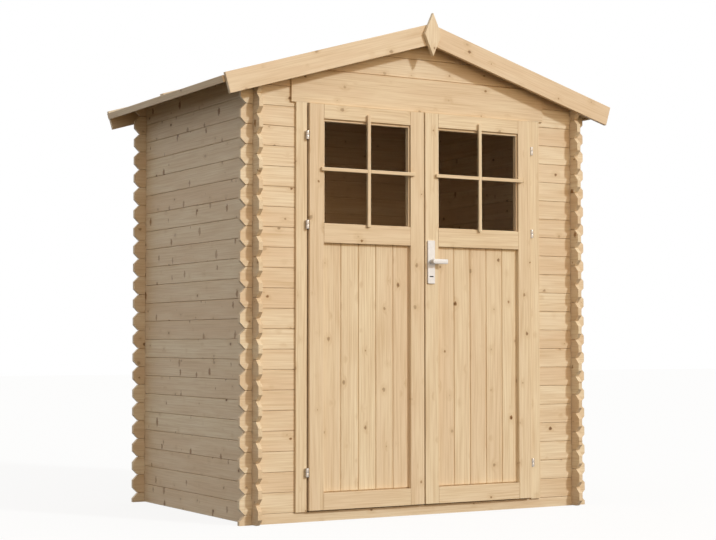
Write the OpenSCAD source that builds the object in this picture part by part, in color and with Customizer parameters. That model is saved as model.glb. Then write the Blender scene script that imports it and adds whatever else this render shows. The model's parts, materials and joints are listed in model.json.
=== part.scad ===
// Wooden garden shed with interlocking plank walls, a ridged roof and a glazed double door.
// Lengths are in millimetres. +X is the right side, +Y the back and +Z up.
// The origin lies on the ground, under the middle of the walls.

/* [Plank walls] */
// Outer width across the side walls
shed_w = 1722; // [1500:1:2200]
// Outer depth across the front and rear walls
shed_d = 1204; // [900:1:1800]
// Cover height of one wall plank
plank_h = 88; // [72:1:110]
// Thickness of one wall plank
plank_t = 19; // [16:1:26]
// Length of a log end beyond the wall that it crosses
log_out = 59; // [50:1:75]
// Corner cut off the top and bottom of a log end
log_cut = 25; // [12:1:32]

/* [Doorway] */
// Sideways place of the doorway's middle on the front wall
door_shift = -4; // [-40:1:40]
// Width of both leaves together, with the gap where they meet
leaves_w = 1186; // [960:1:1240]
// Height of a leaf
leaf_h = 1774; // [1600:1:1950]
// Thickness of a leaf
leaf_t = 40; // [36:1:50]
// How far the front of a leaf stands before the wall
leaf_proud = 25; // [22:1:30]
// Gap between a leaf and the jamb, the lintel or the sill
door_gap = 5; // [5:0.5:8]
// Gap where the two leaves meet
meet_gap = 7; // [6:0.5:10]
// Visible width of a jamb
jamb_w = 55; // [40:1:70]
// Width of a jamb inside the thickness of the wall
jamb_web = 20; // [14:1:28]
// Thickness of the jamb cheeks and of the header board
trim_t = 11; // [10:1:14]
// Height of the header board over the doorway
header_h = 151; // [110:1:170]
// How far the header board runs past each jamb
header_past = 23; // [10:1:40]

/* [Door leaf] */
// Width of a stile
stile_w = 71; // [60:1:90]
// Height of the top rail
top_rail_h = 63; // [50:1:90]
// Height of the middle rail
mid_rail_h = 83; // [60:1:110]
// Height of the bottom rail
bottom_rail_h = 74; // [60:1:110]
// Sloped edge along the top of the bottom rail
weather_cut = 10; // [6:1:14]
// Height of the pane
pane_h = 463; // [350:1:600]
// Thickness of the pane
pane_t = 4; // [3:0.5:6]
// Depth of the pane behind the front of the leaf
pane_set = 19; // [16:1:24]
// Thickness of the boarded panel
panel_t = 15; // [12:1:18]
// Depth of the boarded panel behind the front of the leaf
panel_set = 18; // [14:1:20]

/* [Hinges] */
// Height of a hinge
hinge_h = 38; // [34:1:60]
// Radius of a hinge barrel
barrel_r = 8; // [6:0.5:9]
// Radius of a hinge pin
pin_r = 4; // [3:0.5:5]
// Thickness of a hinge plate
hinge_plate_t = 2; // [1.5:0.1:2.2]
// Reach of a hinge plate behind the hinge line
hinge_plate_l = 30; // [24:1:31]

/* [Handle] */
// Height of the lever above the foot of the leaf
lever_h = 1095; // [900:1:1150]
// Distance of the lever from the edge where the leaves meet
lever_in = 28; // [24:1:40]
// Height of a handle plate
handle_plate_h = 196; // [150:1:240]
// Width of a handle plate
handle_plate_w = 38; // [30:1:50]
// Thickness of a handle plate
handle_plate_t = 8; // [6:0.5:10]
// Length of a handle plate below the lever
handle_plate_drop = 100; // [80:1:120]
// Length of the lever arm from the spindle to its tip
lever_l = 70; // [60:1:110]
// Height of the lever arm
arm_h = 22; // [21:1:28]
// Thickness of the lever arm
arm_t = 10; // [7:0.5:12]
// Distance from the handle plate to the front of the arm
lever_off = 32; // [28:1:44]
// Radius of the spindle
spindle_r = 4; // [3.5:0.5:5]
// Width of the key slot
key_w = 22; // [12:1:24]
// Height of the key slot
key_h = 5; // [3:0.5:6]
// Depth of the key slot below the lever
key_drop = 68; // [50:1:75]

/* [Roof] */
// Slope of the roof in degrees
roof_pitch = 16.6; // [14:0.1:22]
// Thickness of the roof boards
roof_t = 16; // [14:1:22]
// Level reach of the roof boards' underside beyond the side walls
eave_out = 162; // [110:1:200]
// Thickness of the roofing felt
felt_t = 3; // [2:0.5:4]
// Reach of the roofing felt beyond the ends of the roof boards
felt_past = 14; // [11:1:25]
// Width of a barge board
barge_w = 92; // [75:1:120]
// Thickness of a barge board
barge_t = 18; // [14:1:24]
// How far a barge board stands above the roof boards
barge_rise = 13; // [12:1:18]
// Height of an eave strip
eave_strip_h = 27; // [22:1:40]
// Thickness of an eave strip
eave_strip_t = 10; // [8:1:11]
// Width of a roof batten
batten_w = 38; // [25:1:50]
// Thickness of a roof batten
batten_t = 8; // [6:1:12]
// Width of the ridge purlin
purlin_w = 45; // [38:1:60]
// Depth of the ridge purlin at its middle
purlin_h = 95; // [75:1:120]
// Height of a finial
finial_h = 191; // [150:1:220]
// Width of a finial
finial_w = 89; // [60:1:110]
// Thickness of a finial
finial_t = 18; // [14:1:24]

/* [Floor] */
// Thickness of the floor boards
floor_t = 16; // [12:1:19]
// Width of a floor joist
joist_w = 45; // [35:1:70]
// Number of floor joists
joist_count = 5; // [3:2:7]

/* [Hidden] */
$fn = 48;

// Share of a side plank's height that is left in its notched neck
neck_share = 0.5;
// Places of the hinges, as shares of the leaf's height
hinge_shares = [0.093, 0.7, 0.921];
// Least height of the lintel over the doorway
lintel_least = 60;
// Running gap between the two halves of a hinge
hinge_split = 0.5;
// Room around a turning barrel
barrel_room = 1;
// Radial play of a pin, a spindle or a neck in its hole
pin_play = 0.3;
// Radius of the neck that carries the lever arm
neck_r = 10;
// Radius of the corners of a handle plate and of a lever arm
handle_round = 4;
// Length of the hinge pin inside the upper barrel, as a share of the hinge's height
pin_share = 0.4;
// Gap between the roof boards and the sloped faces that they lie on or carry
roof_seat = 0.1;
// Overrun of every cut
over = 1;

// Height of the sill, which is the lower half plank of the front wall
sill_z = plank_h / 2;
leaf_z = sill_z + door_gap;
leaf_top = leaf_z + leaf_h;
head_z = leaf_top + door_gap;
// The side walls have as many planks as bring the front joint above the lintel
wall_rows = ceil((head_z + lintel_least) / plank_h + neck_share);
lintel_top = wall_rows * plank_h - plank_h / 2;
eave_z = wall_rows * plank_h;
slope = tan(roof_pitch);
rise_of = 1 / cos(roof_pitch);

// Faces of the walls
side_x = shed_w / 2;
front_y = -shed_d / 2;
front_in_y = front_y + plank_t;
rear_y = shed_d / 2;
inner_w = shed_w - plank_t * 2;
inner_d = shed_d - plank_t * 2;
// Reach of the log ends from the middle of the shed
log_x = side_x + log_out;
log_y = rear_y + log_out;

// The roof's underside rises from the top outer edge of each side wall
function under_z(x) = eave_z + roof_seat + (side_x - abs(x)) * slope;
// Height of what carries the roof boards
function seat_z(x) = under_z(x) - roof_seat;
ridge_z = under_z(0);
board_x = side_x + eave_out;
felt_top = roof_t + felt_t;
barge_top = ridge_z + (roof_t + barge_rise) * rise_of;
barge_drop = barge_w * rise_of;
finial_z = barge_top - barge_drop / 2;
gable_rows = ceil(ridge_z / plank_h) + 1;

// A place at the eave: how far past the roof boards down the slope, and how far out of their underside
function eave_point(past, out) = [
    board_x + past * cos(roof_pitch) + out * sin(roof_pitch),
    under_z(board_x) - past * sin(roof_pitch) + out * cos(roof_pitch)];

// Faces of the doorway, from its own middle
leaf_x = leaves_w / 2;
jamb_x = leaf_x + door_gap;
web_x = jamb_x + jamb_web;
jamb_out_x = jamb_x + jamb_w;
header_x = jamb_out_x + header_past;
leaf_y = front_y - leaf_proud;
leaf_back_y = leaf_y + leaf_t;
rail_x = meet_gap / 2 + stile_w;
rail_w = leaf_x - stile_w - rail_x;
pane_z = leaf_top - top_rail_h - pane_h;
mid_rail_z = pane_z - mid_rail_h;
panel_z = leaf_z + bottom_rail_h;
// The barrels stand before the jamb, just outside the edge of the leaf
hinge_x = leaf_x + barrel_room + barrel_r;
hinge_y = front_y - trim_t - barrel_room - barrel_r;
pin_l = hinge_h * pin_share;
lever_x = meet_gap / 2 + lever_in;
lever_z = leaf_z + lever_h;
leaf_mid_y = leaf_y + leaf_t / 2;

pine = "burlywood";
pale_pine = "wheat";
shade_pine = "tan";
zinc = "silver";
satin = "gainsboro";
felt_grey = "dimgray";
glazing = [0.55, 0.65, 0.7, 0.4];

// An outline in X and Z, drawn out along Y from y to y + length
module along_y(y, length) {
    translate([0, y + length, 0])
        rotate([90, 0, 0])
            linear_extrude(length)
                children();
}

// An outline in Y and Z, drawn out along X from x to x + length
module along_x(x, length) {
    translate([x, 0, 0])
        rotate([90, 0, 90])
            linear_extrude(length)
                children();
}

// A block from its low corner to its high corner
module block(low, high) {
    translate(low)
        cube(high - low);
}

// A rectangle with rounded corners, from its low corner to its high corner
module rounded_outline(low, high, r) {
    translate([low[0] + r, low[1]])
        square([high[0] - low[0] - r * 2, high[1] - low[1]]);
    translate([low[0], low[1] + r])
        square([high[0] - low[0], high[1] - low[1] - r * 2]);
    for (x = [low[0] + r, high[0] - r])
        for (z = [low[1] + r, high[1] - r])
            translate([x, z])
                circle(r);
}

// Mirrors a right-hand piece to the left where side is -1
module handed(side) {
    mirror([side < 0 ? 1 : 0, 0, 0])
        children();
}

// Everything under the roof boards, as an outline in X and Z
module under_roof_outline() {
    polygon([[-log_x, 0], [log_x, 0], [log_x, seat_z(log_x)], [0, seat_z(0)], [-log_x, seat_z(log_x)]]);
}

// Stacked planks whose ends are cut to blunt points
module log_outline(tip, base, rows) {
    shoulder = tip - log_cut;
    polygon(concat(
        [[shoulder, base]],
        [for (row = [0 : rows - 1]) each [
            [tip, base + row * plank_h + log_cut],
            [tip, base + (row + 1) * plank_h - log_cut],
            [shoulder, base + (row + 1) * plank_h]]],
        [for (row = [rows - 1 : -1 : 0]) each [
            [-shoulder, base + (row + 1) * plank_h],
            [-tip, base + (row + 1) * plank_h - log_cut],
            [-tip, base + row * plank_h + log_cut]]],
        [[-shoulder, base]]));
}

// Notches through which the necks of the crossing planks pass
module notch_outline(face, first_z, height, rows) {
    for (side = [-1, 1])
        for (row = [0 : rows])
            translate([side * (face - plank_t / 2), first_z + row * plank_h])
                square([plank_t, height], center = true);
}

// The planks of a front or rear wall as one outline, notched for the side walls
module gable_wall_outline() {
    difference() {
        intersection() {
            log_outline(log_x, -plank_h / 2, gable_rows + 1);
            under_roof_outline();
        }
        notch_outline(side_x, plank_h / 2, plank_h * neck_share, wall_rows - 1);
    }
}

// A stretch of the front wall between two X places and two heights
module front_stretch(x0, x1, z0, z1) {
    along_y(front_y, plank_t)
        intersection() {
            gable_wall_outline();
            translate([x0, z0])
                square([x1 - x0, z1 - z0]);
        }
}

// A side wall, with its top planed to the roof's slope
module side_wall(side) {
    handed(side)
        intersection() {
            along_x(side_x - plank_t, plank_t)
                difference() {
                    log_outline(log_y, 0, wall_rows + 1);
                    notch_outline(rear_y, 0, plank_h * (1 - neck_share), wall_rows + 1);
                }
            along_y(-log_y, log_y * 2)
                under_roof_outline();
        }
}

module left_wall() { color(shade_pine) side_wall(-1); }
module right_wall() { color(shade_pine) side_wall(1); }
module rear_wall() { color(pine) along_y(rear_y - plank_t, plank_t) gable_wall_outline(); }

module front_wall_left() { color(pale_pine) front_stretch(-log_x, door_shift - web_x, sill_z, lintel_top); }
module front_wall_right() { color(pale_pine) front_stretch(door_shift + web_x, log_x, sill_z, lintel_top); }
module front_sill() { color(pale_pine) front_stretch(-log_x, log_x, 0, sill_z); }
module front_gable() { color(pale_pine) front_stretch(-log_x, log_x, lintel_top, ridge_z); }
module front_lintel() {
    color(pale_pine)
        front_stretch(door_shift - web_x, door_shift + web_x, head_z, lintel_top);
}

// A grooved post that grips the ends of the wall planks
module jamb(side) {
    inner_cheek_y = front_in_y + trim_t;
    translate([door_shift, 0, sill_z])
        handed(side)
            linear_extrude(head_z - sill_z)
                polygon([[jamb_x, front_y - trim_t], [jamb_out_x, front_y - trim_t], [jamb_out_x, front_y],
                    [web_x, front_y], [web_x, front_in_y], [jamb_out_x, front_in_y],
                    [jamb_out_x, inner_cheek_y], [jamb_x, inner_cheek_y]]);
}

module left_jamb() { color(pine) jamb(-1); }
module right_jamb() { color(pine) jamb(1); }

module door_header() {
    color(pine)
        along_y(front_y - trim_t, trim_t)
            intersection() {
                translate([door_shift - header_x, head_z])
                    square([header_x * 2, header_h]);
                under_roof_outline();
            }
}

module ridge_purlin() {
    half_w = purlin_w / 2;
    foot_z = seat_z(0) - purlin_h;
    color(pine)
        along_y(front_in_y, inner_d)
            polygon([[-half_w, foot_z], [half_w, foot_z],
                [half_w, seat_z(half_w)], [0, seat_z(0)], [-half_w, seat_z(half_w)]]);
}

// One slope of a layer on the roof, between two distances out of the underside, cut square at the eave
module slope_layer(side, low, high, past, y, length) {
    handed(side)
        along_y(y, length)
            polygon([[0, ridge_z + low * rise_of], eave_point(past, low),
                eave_point(past, high), [0, ridge_z + high * rise_of]]);
}

module left_roof_boards() { color(pine) slope_layer(-1, 0, roof_t, 0, -log_y, log_y * 2); }
module right_roof_boards() { color(pine) slope_layer(1, 0, roof_t, 0, -log_y, log_y * 2); }

module left_roof_felt() { color(felt_grey) slope_layer(-1, roof_t, felt_top, felt_past, -log_y, log_y * 2); }
module right_roof_felt() { color(felt_grey) slope_layer(1, roof_t, felt_top, felt_past, -log_y, log_y * 2); }

module roof_batten(side) {
    slope_layer(side, felt_top, felt_top + batten_t, 0, -batten_w / 2, batten_w);
}

module left_roof_batten() { color(pine) roof_batten(-1); }
module right_roof_batten() { color(pine) roof_batten(1); }

// A strip along the eave, square to the slope, that covers the ends of the roof boards
module eave_strip(side) {
    inner = roof_seat;
    outer = roof_seat + eave_strip_t;
    foot = roof_t - eave_strip_h;
    handed(side)
        along_y(-log_y, log_y * 2)
            polygon([eave_point(inner, foot), eave_point(outer, foot),
                eave_point(outer, roof_t), eave_point(inner, roof_t)]);
}

module left_eave_strip() { color(pine) eave_strip(-1); }
module right_eave_strip() { color(pine) eave_strip(1); }

// A board along the slope of a gable, with its foot cut square, flush with the roof boards
module barge(side, y) {
    top = roof_t + barge_rise;
    handed(side)
        along_y(y, barge_t)
            polygon([[0, barge_top], [0, barge_top - barge_drop],
                eave_point(0, top - barge_w), eave_point(0, top)]);
}

module front_left_barge() { color(pale_pine) barge(-1, -log_y - barge_t); }
module front_right_barge() { color(pale_pine) barge(1, -log_y - barge_t); }
module rear_left_barge() { color(pale_pine) barge(-1, log_y); }
module rear_right_barge() { color(pale_pine) barge(1, log_y); }

// A lozenge board over the joint of two barge boards
module finial(y) {
    along_y(y, finial_t)
        polygon([[0, finial_z - finial_h / 2], [finial_w / 2, finial_z],
            [0, finial_z + finial_h / 2], [-finial_w / 2, finial_z]]);
}

module front_finial() { color(pale_pine) finial(-log_y - barge_t - finial_t); }
module rear_finial() { color(pale_pine) finial(log_y + barge_t); }

module floor_boards() {
    color(pine)
        block([-inner_w / 2, -inner_d / 2, sill_z - floor_t], [inner_w / 2, inner_d / 2, sill_z]);
}

module floor_joists() {
    pitch = (inner_d - joist_w) / (joist_count - 1);
    color(shade_pine)
        for (i = [0 : joist_count - 1])
            translate([0, -inner_d / 2 + i * pitch, 0])
                block([-inner_w / 2, 0, 0], [inner_w / 2, joist_w, sill_z - floor_t]);
}

// The lower halves of the hinges of one jamb, with the pins
module jamb_hinges(side) {
    translate([door_shift, 0, leaf_z])
        handed(side)
            for (share = hinge_shares)
                translate([hinge_x, hinge_y, share * leaf_h]) {
                    translate([0, 0, -hinge_h / 2])
                        cylinder(h = hinge_h / 2 - hinge_split / 2, r = barrel_r);
                    translate([0, 0, -hinge_h / 2])
                        cylinder(h = hinge_h / 2 + pin_l, r = pin_r);
                    block([jamb_x - hinge_x - hinge_plate_t, 0, -hinge_h / 2],
                        [jamb_x - hinge_x, hinge_plate_l, -hinge_split / 2]);
                }
}

module left_jamb_hinges() { color(zinc) jamb_hinges(-1); }
module right_jamb_hinges() { color(zinc) jamb_hinges(1); }

// The upper halves of the hinges of one leaf, bored for the pins
module leaf_hinges(side) {
    translate([door_shift, 0, leaf_z])
        handed(side)
            for (share = hinge_shares)
                translate([hinge_x, hinge_y, share * leaf_h])
                    difference() {
                        union() {
                            translate([0, 0, hinge_split / 2])
                                cylinder(h = hinge_h / 2 - hinge_split / 2, r = barrel_r);
                            block([leaf_x - hinge_x, 0, hinge_split / 2],
                                [leaf_x - hinge_x + hinge_plate_t, hinge_plate_l, hinge_h / 2]);
                        }
                        translate([0, 0, -over])
                            cylinder(h = pin_l + over + pin_play, r = pin_r + pin_play);
                    }
}

module left_door_hinges() { color(zinc) leaf_hinges(-1); }
module right_door_hinges() { color(zinc) leaf_hinges(1); }

// Both stiles of a leaf, with the spindle's bore through the right-hand one
module leaf_stiles(side) {
    translate([door_shift, 0, leaf_z])
        handed(side)
            difference() {
                for (x = [meet_gap / 2, leaf_x - stile_w])
                    block([x, leaf_y, 0], [x + stile_w, leaf_back_y, leaf_h]);
                if (side > 0)
                    translate([lever_x, leaf_y - over, lever_h])
                        rotate([-90, 0, 0])
                            cylinder(h = leaf_t + over * 2, r = spindle_r + pin_play);
            }
}

module left_door_stiles() { color(pine) leaf_stiles(-1); }
module right_door_stiles() { color(pine) leaf_stiles(1); }

// The three rails of a leaf, the lowest with a sloped upper edge
module leaf_rails(side) {
    translate([door_shift, 0, 0])
        handed(side) {
            along_x(rail_x, rail_w)
                polygon([[leaf_y, leaf_z], [leaf_back_y, leaf_z], [leaf_back_y, panel_z],
                    [leaf_y + weather_cut, panel_z], [leaf_y, panel_z - weather_cut]]);
            block([rail_x, leaf_y, mid_rail_z], [rail_x + rail_w, leaf_back_y, pane_z]);
            block([rail_x, leaf_y, leaf_top - top_rail_h], [rail_x + rail_w, leaf_back_y, leaf_top]);
        }
}

module left_door_rails() { color(pine) leaf_rails(-1); }
module right_door_rails() { color(pine) leaf_rails(1); }

module leaf_panel(side) {
    panel_y = leaf_y + panel_set;
    translate([door_shift, 0, 0])
        handed(side)
            block([rail_x, panel_y, panel_z], [rail_x + rail_w, panel_y + panel_t, mid_rail_z]);
}

module left_door_panel() { color(pale_pine) leaf_panel(-1); }
module right_door_panel() { color(pale_pine) leaf_panel(1); }

module leaf_pane(side) {
    pane_y = leaf_y + pane_set;
    translate([door_shift, 0, 0])
        handed(side)
            block([rail_x, pane_y, pane_z], [rail_x + rail_w, pane_y + pane_t, pane_z + pane_h]);
}

module left_door_pane() { color(glazing) leaf_pane(-1); }
module right_door_pane() { color(glazing) leaf_pane(1); }

// Repeats a piece on the outer and the inner face of the right leaf, at the lever
module both_faces() {
    for (face = [0, 1])
        translate([door_shift + lever_x, leaf_mid_y, lever_z])
            mirror([0, face, 0])
                translate([0, -leaf_t / 2, 0])
                    children();
}

// The two handle plates, bored for the spindle and slotted for the key
module handle_plates() {
    cut_l = handle_plate_t + over * 2;
    color(satin)
        both_faces()
            difference() {
                along_y(-handle_plate_t, handle_plate_t)
                    rounded_outline([-handle_plate_w / 2, -handle_plate_drop],
                        [handle_plate_w / 2, handle_plate_h - handle_plate_drop], handle_round);
                translate([0, over, 0])
                    rotate([90, 0, 0])
                        cylinder(h = cut_l, r = spindle_r + pin_play);
                block([-key_w / 2, -handle_plate_t - over, -key_drop - key_h / 2],
                    [key_w / 2, over, -key_drop + key_h / 2]);
            }
}

// Two flat lever arms on one spindle
module door_lever() {
    color(satin) {
        translate([door_shift + lever_x, leaf_mid_y, lever_z])
            rotate([90, 0, 0])
                cylinder(h = leaf_t + handle_plate_t * 2 + lever_off, r = spindle_r, center = true);
        both_faces()
            translate([0, -handle_plate_t, 0]) {
                translate([0, -pin_play, 0])
                    rotate([90, 0, 0])
                        cylinder(h = lever_off - arm_t / 2 - pin_play, r = neck_r);
                along_y(-lever_off, arm_t)
                    rounded_outline([-arm_h / 2, -arm_h / 2], [lever_l, arm_h / 2], handle_round);
            }
    }
}

left_wall();
right_wall();
rear_wall();
front_wall_left();
front_wall_right();
front_sill();
front_lintel();
front_gable();
left_jamb();
right_jamb();
door_header();
ridge_purlin();
left_roof_boards();
right_roof_boards();
left_roof_felt();
right_roof_felt();
left_eave_strip();
right_eave_strip();
left_roof_batten();
right_roof_batten();
front_left_barge();
front_right_barge();
rear_left_barge();
rear_right_barge();
front_finial();
rear_finial();
floor_boards();
floor_joists();
left_jamb_hinges();
right_jamb_hinges();
left_door_stiles();
left_door_rails();
left_door_panel();
left_door_pane();
left_door_hinges();
right_door_stiles();
right_door_rails();
right_door_panel();
right_door_pane();
right_door_hinges();
handle_plates();
door_lever();
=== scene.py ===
"""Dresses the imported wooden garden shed: planks, doors, roof and fittings, modelled around its frame."""
import contextlib
import enum
import functools
import json
import logging
import math
import random
from collections.abc import Callable, Iterator, Sequence
from dataclasses import dataclass, field, replace
from typing import Any

import bmesh
import bpy
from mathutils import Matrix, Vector


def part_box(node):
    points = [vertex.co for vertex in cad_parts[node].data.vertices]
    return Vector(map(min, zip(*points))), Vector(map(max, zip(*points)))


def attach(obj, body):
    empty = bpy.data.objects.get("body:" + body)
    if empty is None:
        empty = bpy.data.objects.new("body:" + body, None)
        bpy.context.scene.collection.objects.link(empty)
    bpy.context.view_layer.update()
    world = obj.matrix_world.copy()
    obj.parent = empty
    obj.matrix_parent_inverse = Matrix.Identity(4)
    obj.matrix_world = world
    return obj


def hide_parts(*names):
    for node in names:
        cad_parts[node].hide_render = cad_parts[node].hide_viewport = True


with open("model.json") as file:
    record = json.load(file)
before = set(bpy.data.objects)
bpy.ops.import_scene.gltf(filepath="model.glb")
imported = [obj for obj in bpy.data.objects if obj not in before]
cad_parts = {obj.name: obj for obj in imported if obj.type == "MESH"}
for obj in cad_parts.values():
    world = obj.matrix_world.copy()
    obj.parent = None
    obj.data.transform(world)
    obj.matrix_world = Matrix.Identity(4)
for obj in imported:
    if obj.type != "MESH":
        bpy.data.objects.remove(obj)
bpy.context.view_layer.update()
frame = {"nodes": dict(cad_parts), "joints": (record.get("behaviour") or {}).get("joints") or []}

LOG = logging.getLogger("garden_shed")
MM = 0.001
SEED = 11
X, Y, Z = Vector((1, 0, 0)), Vector((0, 1, 0)), Vector((0, 0, 1))
# Points closer than this are at the same place
TINY = 0.02 * MM
# How far a cutter reaches past the face that it cuts
OVER = 1 * MM
# Faces that meet at more than the first angle make a sharp edge, and past the second about a square one
SHARP, SQUARE = math.radians(20), math.radians(60)
# Least cosine of the angle between two directions that count as the same, for edges and for faces
ALONG, FACING = 0.999, 0.9


class Side(enum.Enum):
    """The two hands of the shed, seen from the front."""

    LEFT = -1
    RIGHT = 1

    @property
    def label(self) -> str:
        """The hand's name as it stands in node names."""
        return self.name.lower()


class Gable(enum.Enum):
    """The two gables of the shed, as they stand in node names."""

    FRONT = "front"
    REAR = "rear"


class Part(enum.Enum):
    """What is selected in edit mode: the mode's flags and the mesh's list of such elements."""

    EDGE = ((False, True, False), "edges")
    FACE = ((False, False, True), "faces")
    VERT = ((True, False, False), "verts")


class Body(enum.Enum):
    """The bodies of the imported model."""

    SHED = "shed"
    LEFT_DOOR = "left_door"
    RIGHT_DOOR = "right_door"
    LEVER = "lever"


# The lowest and the highest corner of something
Box = tuple[Vector, Vector]


# Modelling steps

def pick(*objects: bpy.types.Object) -> None:
    """Leaves only these objects selected.

    Args:
        objects: the objects, of which the first becomes the active one.
    """
    bpy.ops.object.select_all(action="DESELECT")
    for item in objects:
        item.select_set(True)
    bpy.context.view_layer.objects.active = objects[0]


def settle(piece: bpy.types.Object) -> bpy.types.Object:
    """Moves a piece's place, turn and size into its mesh.

    Args:
        piece: the piece to settle.

    Returns:
        The same piece.
    """
    pick(piece)
    bpy.ops.object.transform_apply(location=True, rotation=True, scale=True)
    return piece


def block(low: Sequence[float], high: Sequence[float]) -> bpy.types.Object:
    """Adds a cube stretched between two corners.

    Args:
        low: lowest corner in metres.
        high: highest corner in metres.

    Returns:
        The block, with its place in its mesh.
    """
    low, high = Vector(low), Vector(high)
    bpy.ops.object.select_all(action="DESELECT")
    bpy.ops.mesh.primitive_cube_add(size=1, location=(low + high) / 2)
    made = bpy.context.object
    made.scale = high - low
    return settle(made)


def rod(start: Vector, end: Vector, radius: float, sides: int = 32) -> bpy.types.Object:
    """Adds a cylinder between two points.

    Args:
        start: middle of one end.
        end: middle of the other end.
        radius: radius in metres.
        sides: number of flat sides.

    Returns:
        The cylinder, with its place in its mesh.
    """
    bpy.ops.object.select_all(action="DESELECT")
    bpy.ops.mesh.primitive_cylinder_add(vertices=sides, radius=radius, depth=(end - start).length,
                                        location=(start + end) / 2)
    made = bpy.context.object
    made.rotation_mode = "QUATERNION"
    made.rotation_quaternion = (end - start).to_track_quat("Z", "Y")
    settle(made)
    made.rotation_mode = "XYZ"
    return made


@contextlib.contextmanager
def editing(piece: bpy.types.Object, part: Part, test: Callable[[Any], bool]) -> Iterator[None]:
    """Opens a piece in edit mode with the elements selected that pass a test.

    Args:
        piece: the piece to edit.
        part: kind of element to select.
        test: says whether an element is selected.
    """
    pick(piece)
    flags, elements = part.value
    bpy.context.tool_settings.mesh_select_mode = flags
    bpy.ops.object.mode_set(mode="EDIT")
    bpy.ops.mesh.select_all(action="DESELECT")
    mesh = bmesh.from_edit_mesh(piece.data)
    for item in [item for item in getattr(mesh, elements) if test(item)]:
        item.select_set(True)
    bmesh.update_edit_mesh(piece.data)
    yield
    bpy.ops.object.mode_set(mode="OBJECT")


def ease(piece: bpy.types.Object, width: float, test: Callable[[Any], bool] | None = None,
         steps: int = 1) -> bpy.types.Object:
    """Bevels the edges that pass a test, or every sharp edge.

    Args:
        piece: the piece to bevel.
        width: width of the bevel in metres.
        test: says whether an edge is bevelled.
        steps: number of facets, 1 for a flat chamfer.

    Returns:
        The same piece.
    """
    with editing(piece, Part.EDGE, test or (lambda edge: edge.calc_face_angle(0) > SHARP)):
        bpy.ops.mesh.bevel(offset_type="OFFSET", offset=width, segments=steps, profile=0.5, affect="EDGES",
                           clamp_overlap=True)
    return piece


def trim(piece: bpy.types.Object, point: Sequence[float], outward: Sequence[float]) -> bpy.types.Object:
    """Saws a piece along a plane and throws away the outer side.

    Args:
        piece: the piece to saw.
        point: a point on the plane.
        outward: the plane's normal, towards the waste.

    Returns:
        The same piece, closed over the cut.
    """
    with editing(piece, Part.FACE, lambda face: True):
        bpy.ops.mesh.bisect(plane_co=point, plane_no=outward, use_fill=True, clear_outer=True)
    return piece


def carve(piece: bpy.types.Object, *cutters: bpy.types.Object) -> bpy.types.Object:
    """Cuts other blocks out of a piece and throws them away.

    Args:
        piece: the piece to cut.
        cutters: closed shapes to take away.

    Returns:
        The same piece.
    """
    for cutter in cutters:
        cut = piece.modifiers.new("cut", "BOOLEAN")
        cut.operation, cut.solver, cut.object = "DIFFERENCE", "EXACT", cutter
        pick(piece)
        bpy.ops.object.modifier_apply(modifier=cut.name)
        bpy.data.objects.remove(cutter)
    return piece


def twin(piece: bpy.types.Object, move: Sequence[float] = (0, 0, 0), turn_z: float = 0) -> bpy.types.Object:
    """Copies a piece, with a mesh of its own.

    Args:
        piece: the pattern piece.
        move: how far the copy moves.
        turn_z: turn about the upright axis, in radians, before it moves.

    Returns:
        The copy, with its place in its mesh.
    """
    made = piece.copy()
    made.data = piece.data.copy()
    bpy.context.collection.objects.link(made)
    made.location, made.rotation_euler = move, (0, 0, turn_z)
    return settle(made)


def discard(*pieces: bpy.types.Object) -> None:
    """Throws away pattern pieces."""
    for piece in pieces:
        bpy.data.objects.remove(piece)


def joined(pieces: Sequence[bpy.types.Object]) -> bpy.types.Object:
    """Joins pieces into the first one.

    Args:
        pieces: the pieces to join.

    Returns:
        The first piece.
    """
    pick(*pieces)
    if len(pieces) > 1:
        bpy.ops.object.join()
    return pieces[0]


def smooth(piece: bpy.types.Object, degrees: float = 40) -> bpy.types.Object:
    """Shades a piece smooth.

    Args:
        piece: the piece to shade.
        degrees: edges that are flatter than this angle disappear.

    Returns:
        The same piece.
    """
    pick(piece)
    bpy.ops.object.shade_smooth_by_angle(angle=math.radians(degrees))
    return piece


def runs_along(edge: Any, axis: Vector) -> bool:
    """Says whether an edge runs along an axis."""
    return abs((edge.verts[1].co - edge.verts[0].co).normalized().dot(axis)) > ALONG


def is_square(edge: Any) -> bool:
    """Says whether two faces meet about squarely at an edge."""
    return edge.calc_face_angle(0) > SQUARE


def lies_at(edge: Any, axis: int, place: float) -> bool:
    """Says whether both ends of an edge lie at one place along an axis."""
    return all(abs(vertex.co[axis] - place) < TINY for vertex in edge.verts)


def clusters(node: str, axis: int, gap: float) -> list[Box]:
    """Splits a CAD node into the groups of points that lie apart along an axis.

    Args:
        node: name of the CAD node.
        axis: 0, 1 or 2.
        gap: least empty stretch between two groups, in metres.

    Returns:
        The lowest and highest corner of each group, in order.
    """
    points = sorted((vertex.co.copy() for vertex in frame["nodes"][node].data.vertices), key=lambda p: p[axis])
    groups: list[list[Vector]] = [[points[0]]]
    for point in points[1:]:
        if point[axis] - groups[-1][-1][axis] > gap:
            groups.append([])
        groups[-1].append(point)
    return [(Vector(map(min, *group)), Vector(map(max, *group))) for group in groups]


def joint_at(body: str) -> Vector:
    """The place of the joint that moves a body."""
    return next(Vector(joint["pos_m"]) for joint in frame["joints"] if joint["child"] == body)


# Finishes

def linear(colour: str) -> tuple[float, float, float, float]:
    """Turns an sRGB hex colour into linear light.

    Args:
        colour: six hex digits after a hash sign.

    Returns:
        Red, green, blue and alpha.
    """
    shares = [int(colour[at:at + 2], 16) / 255 for at in (1, 3, 5)]
    light = [share / 12.92 if share <= 0.04045 else ((share + 0.055) / 1.055) ** 2.4 for share in shares]
    return light[0], light[1], light[2], 1.0


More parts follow.
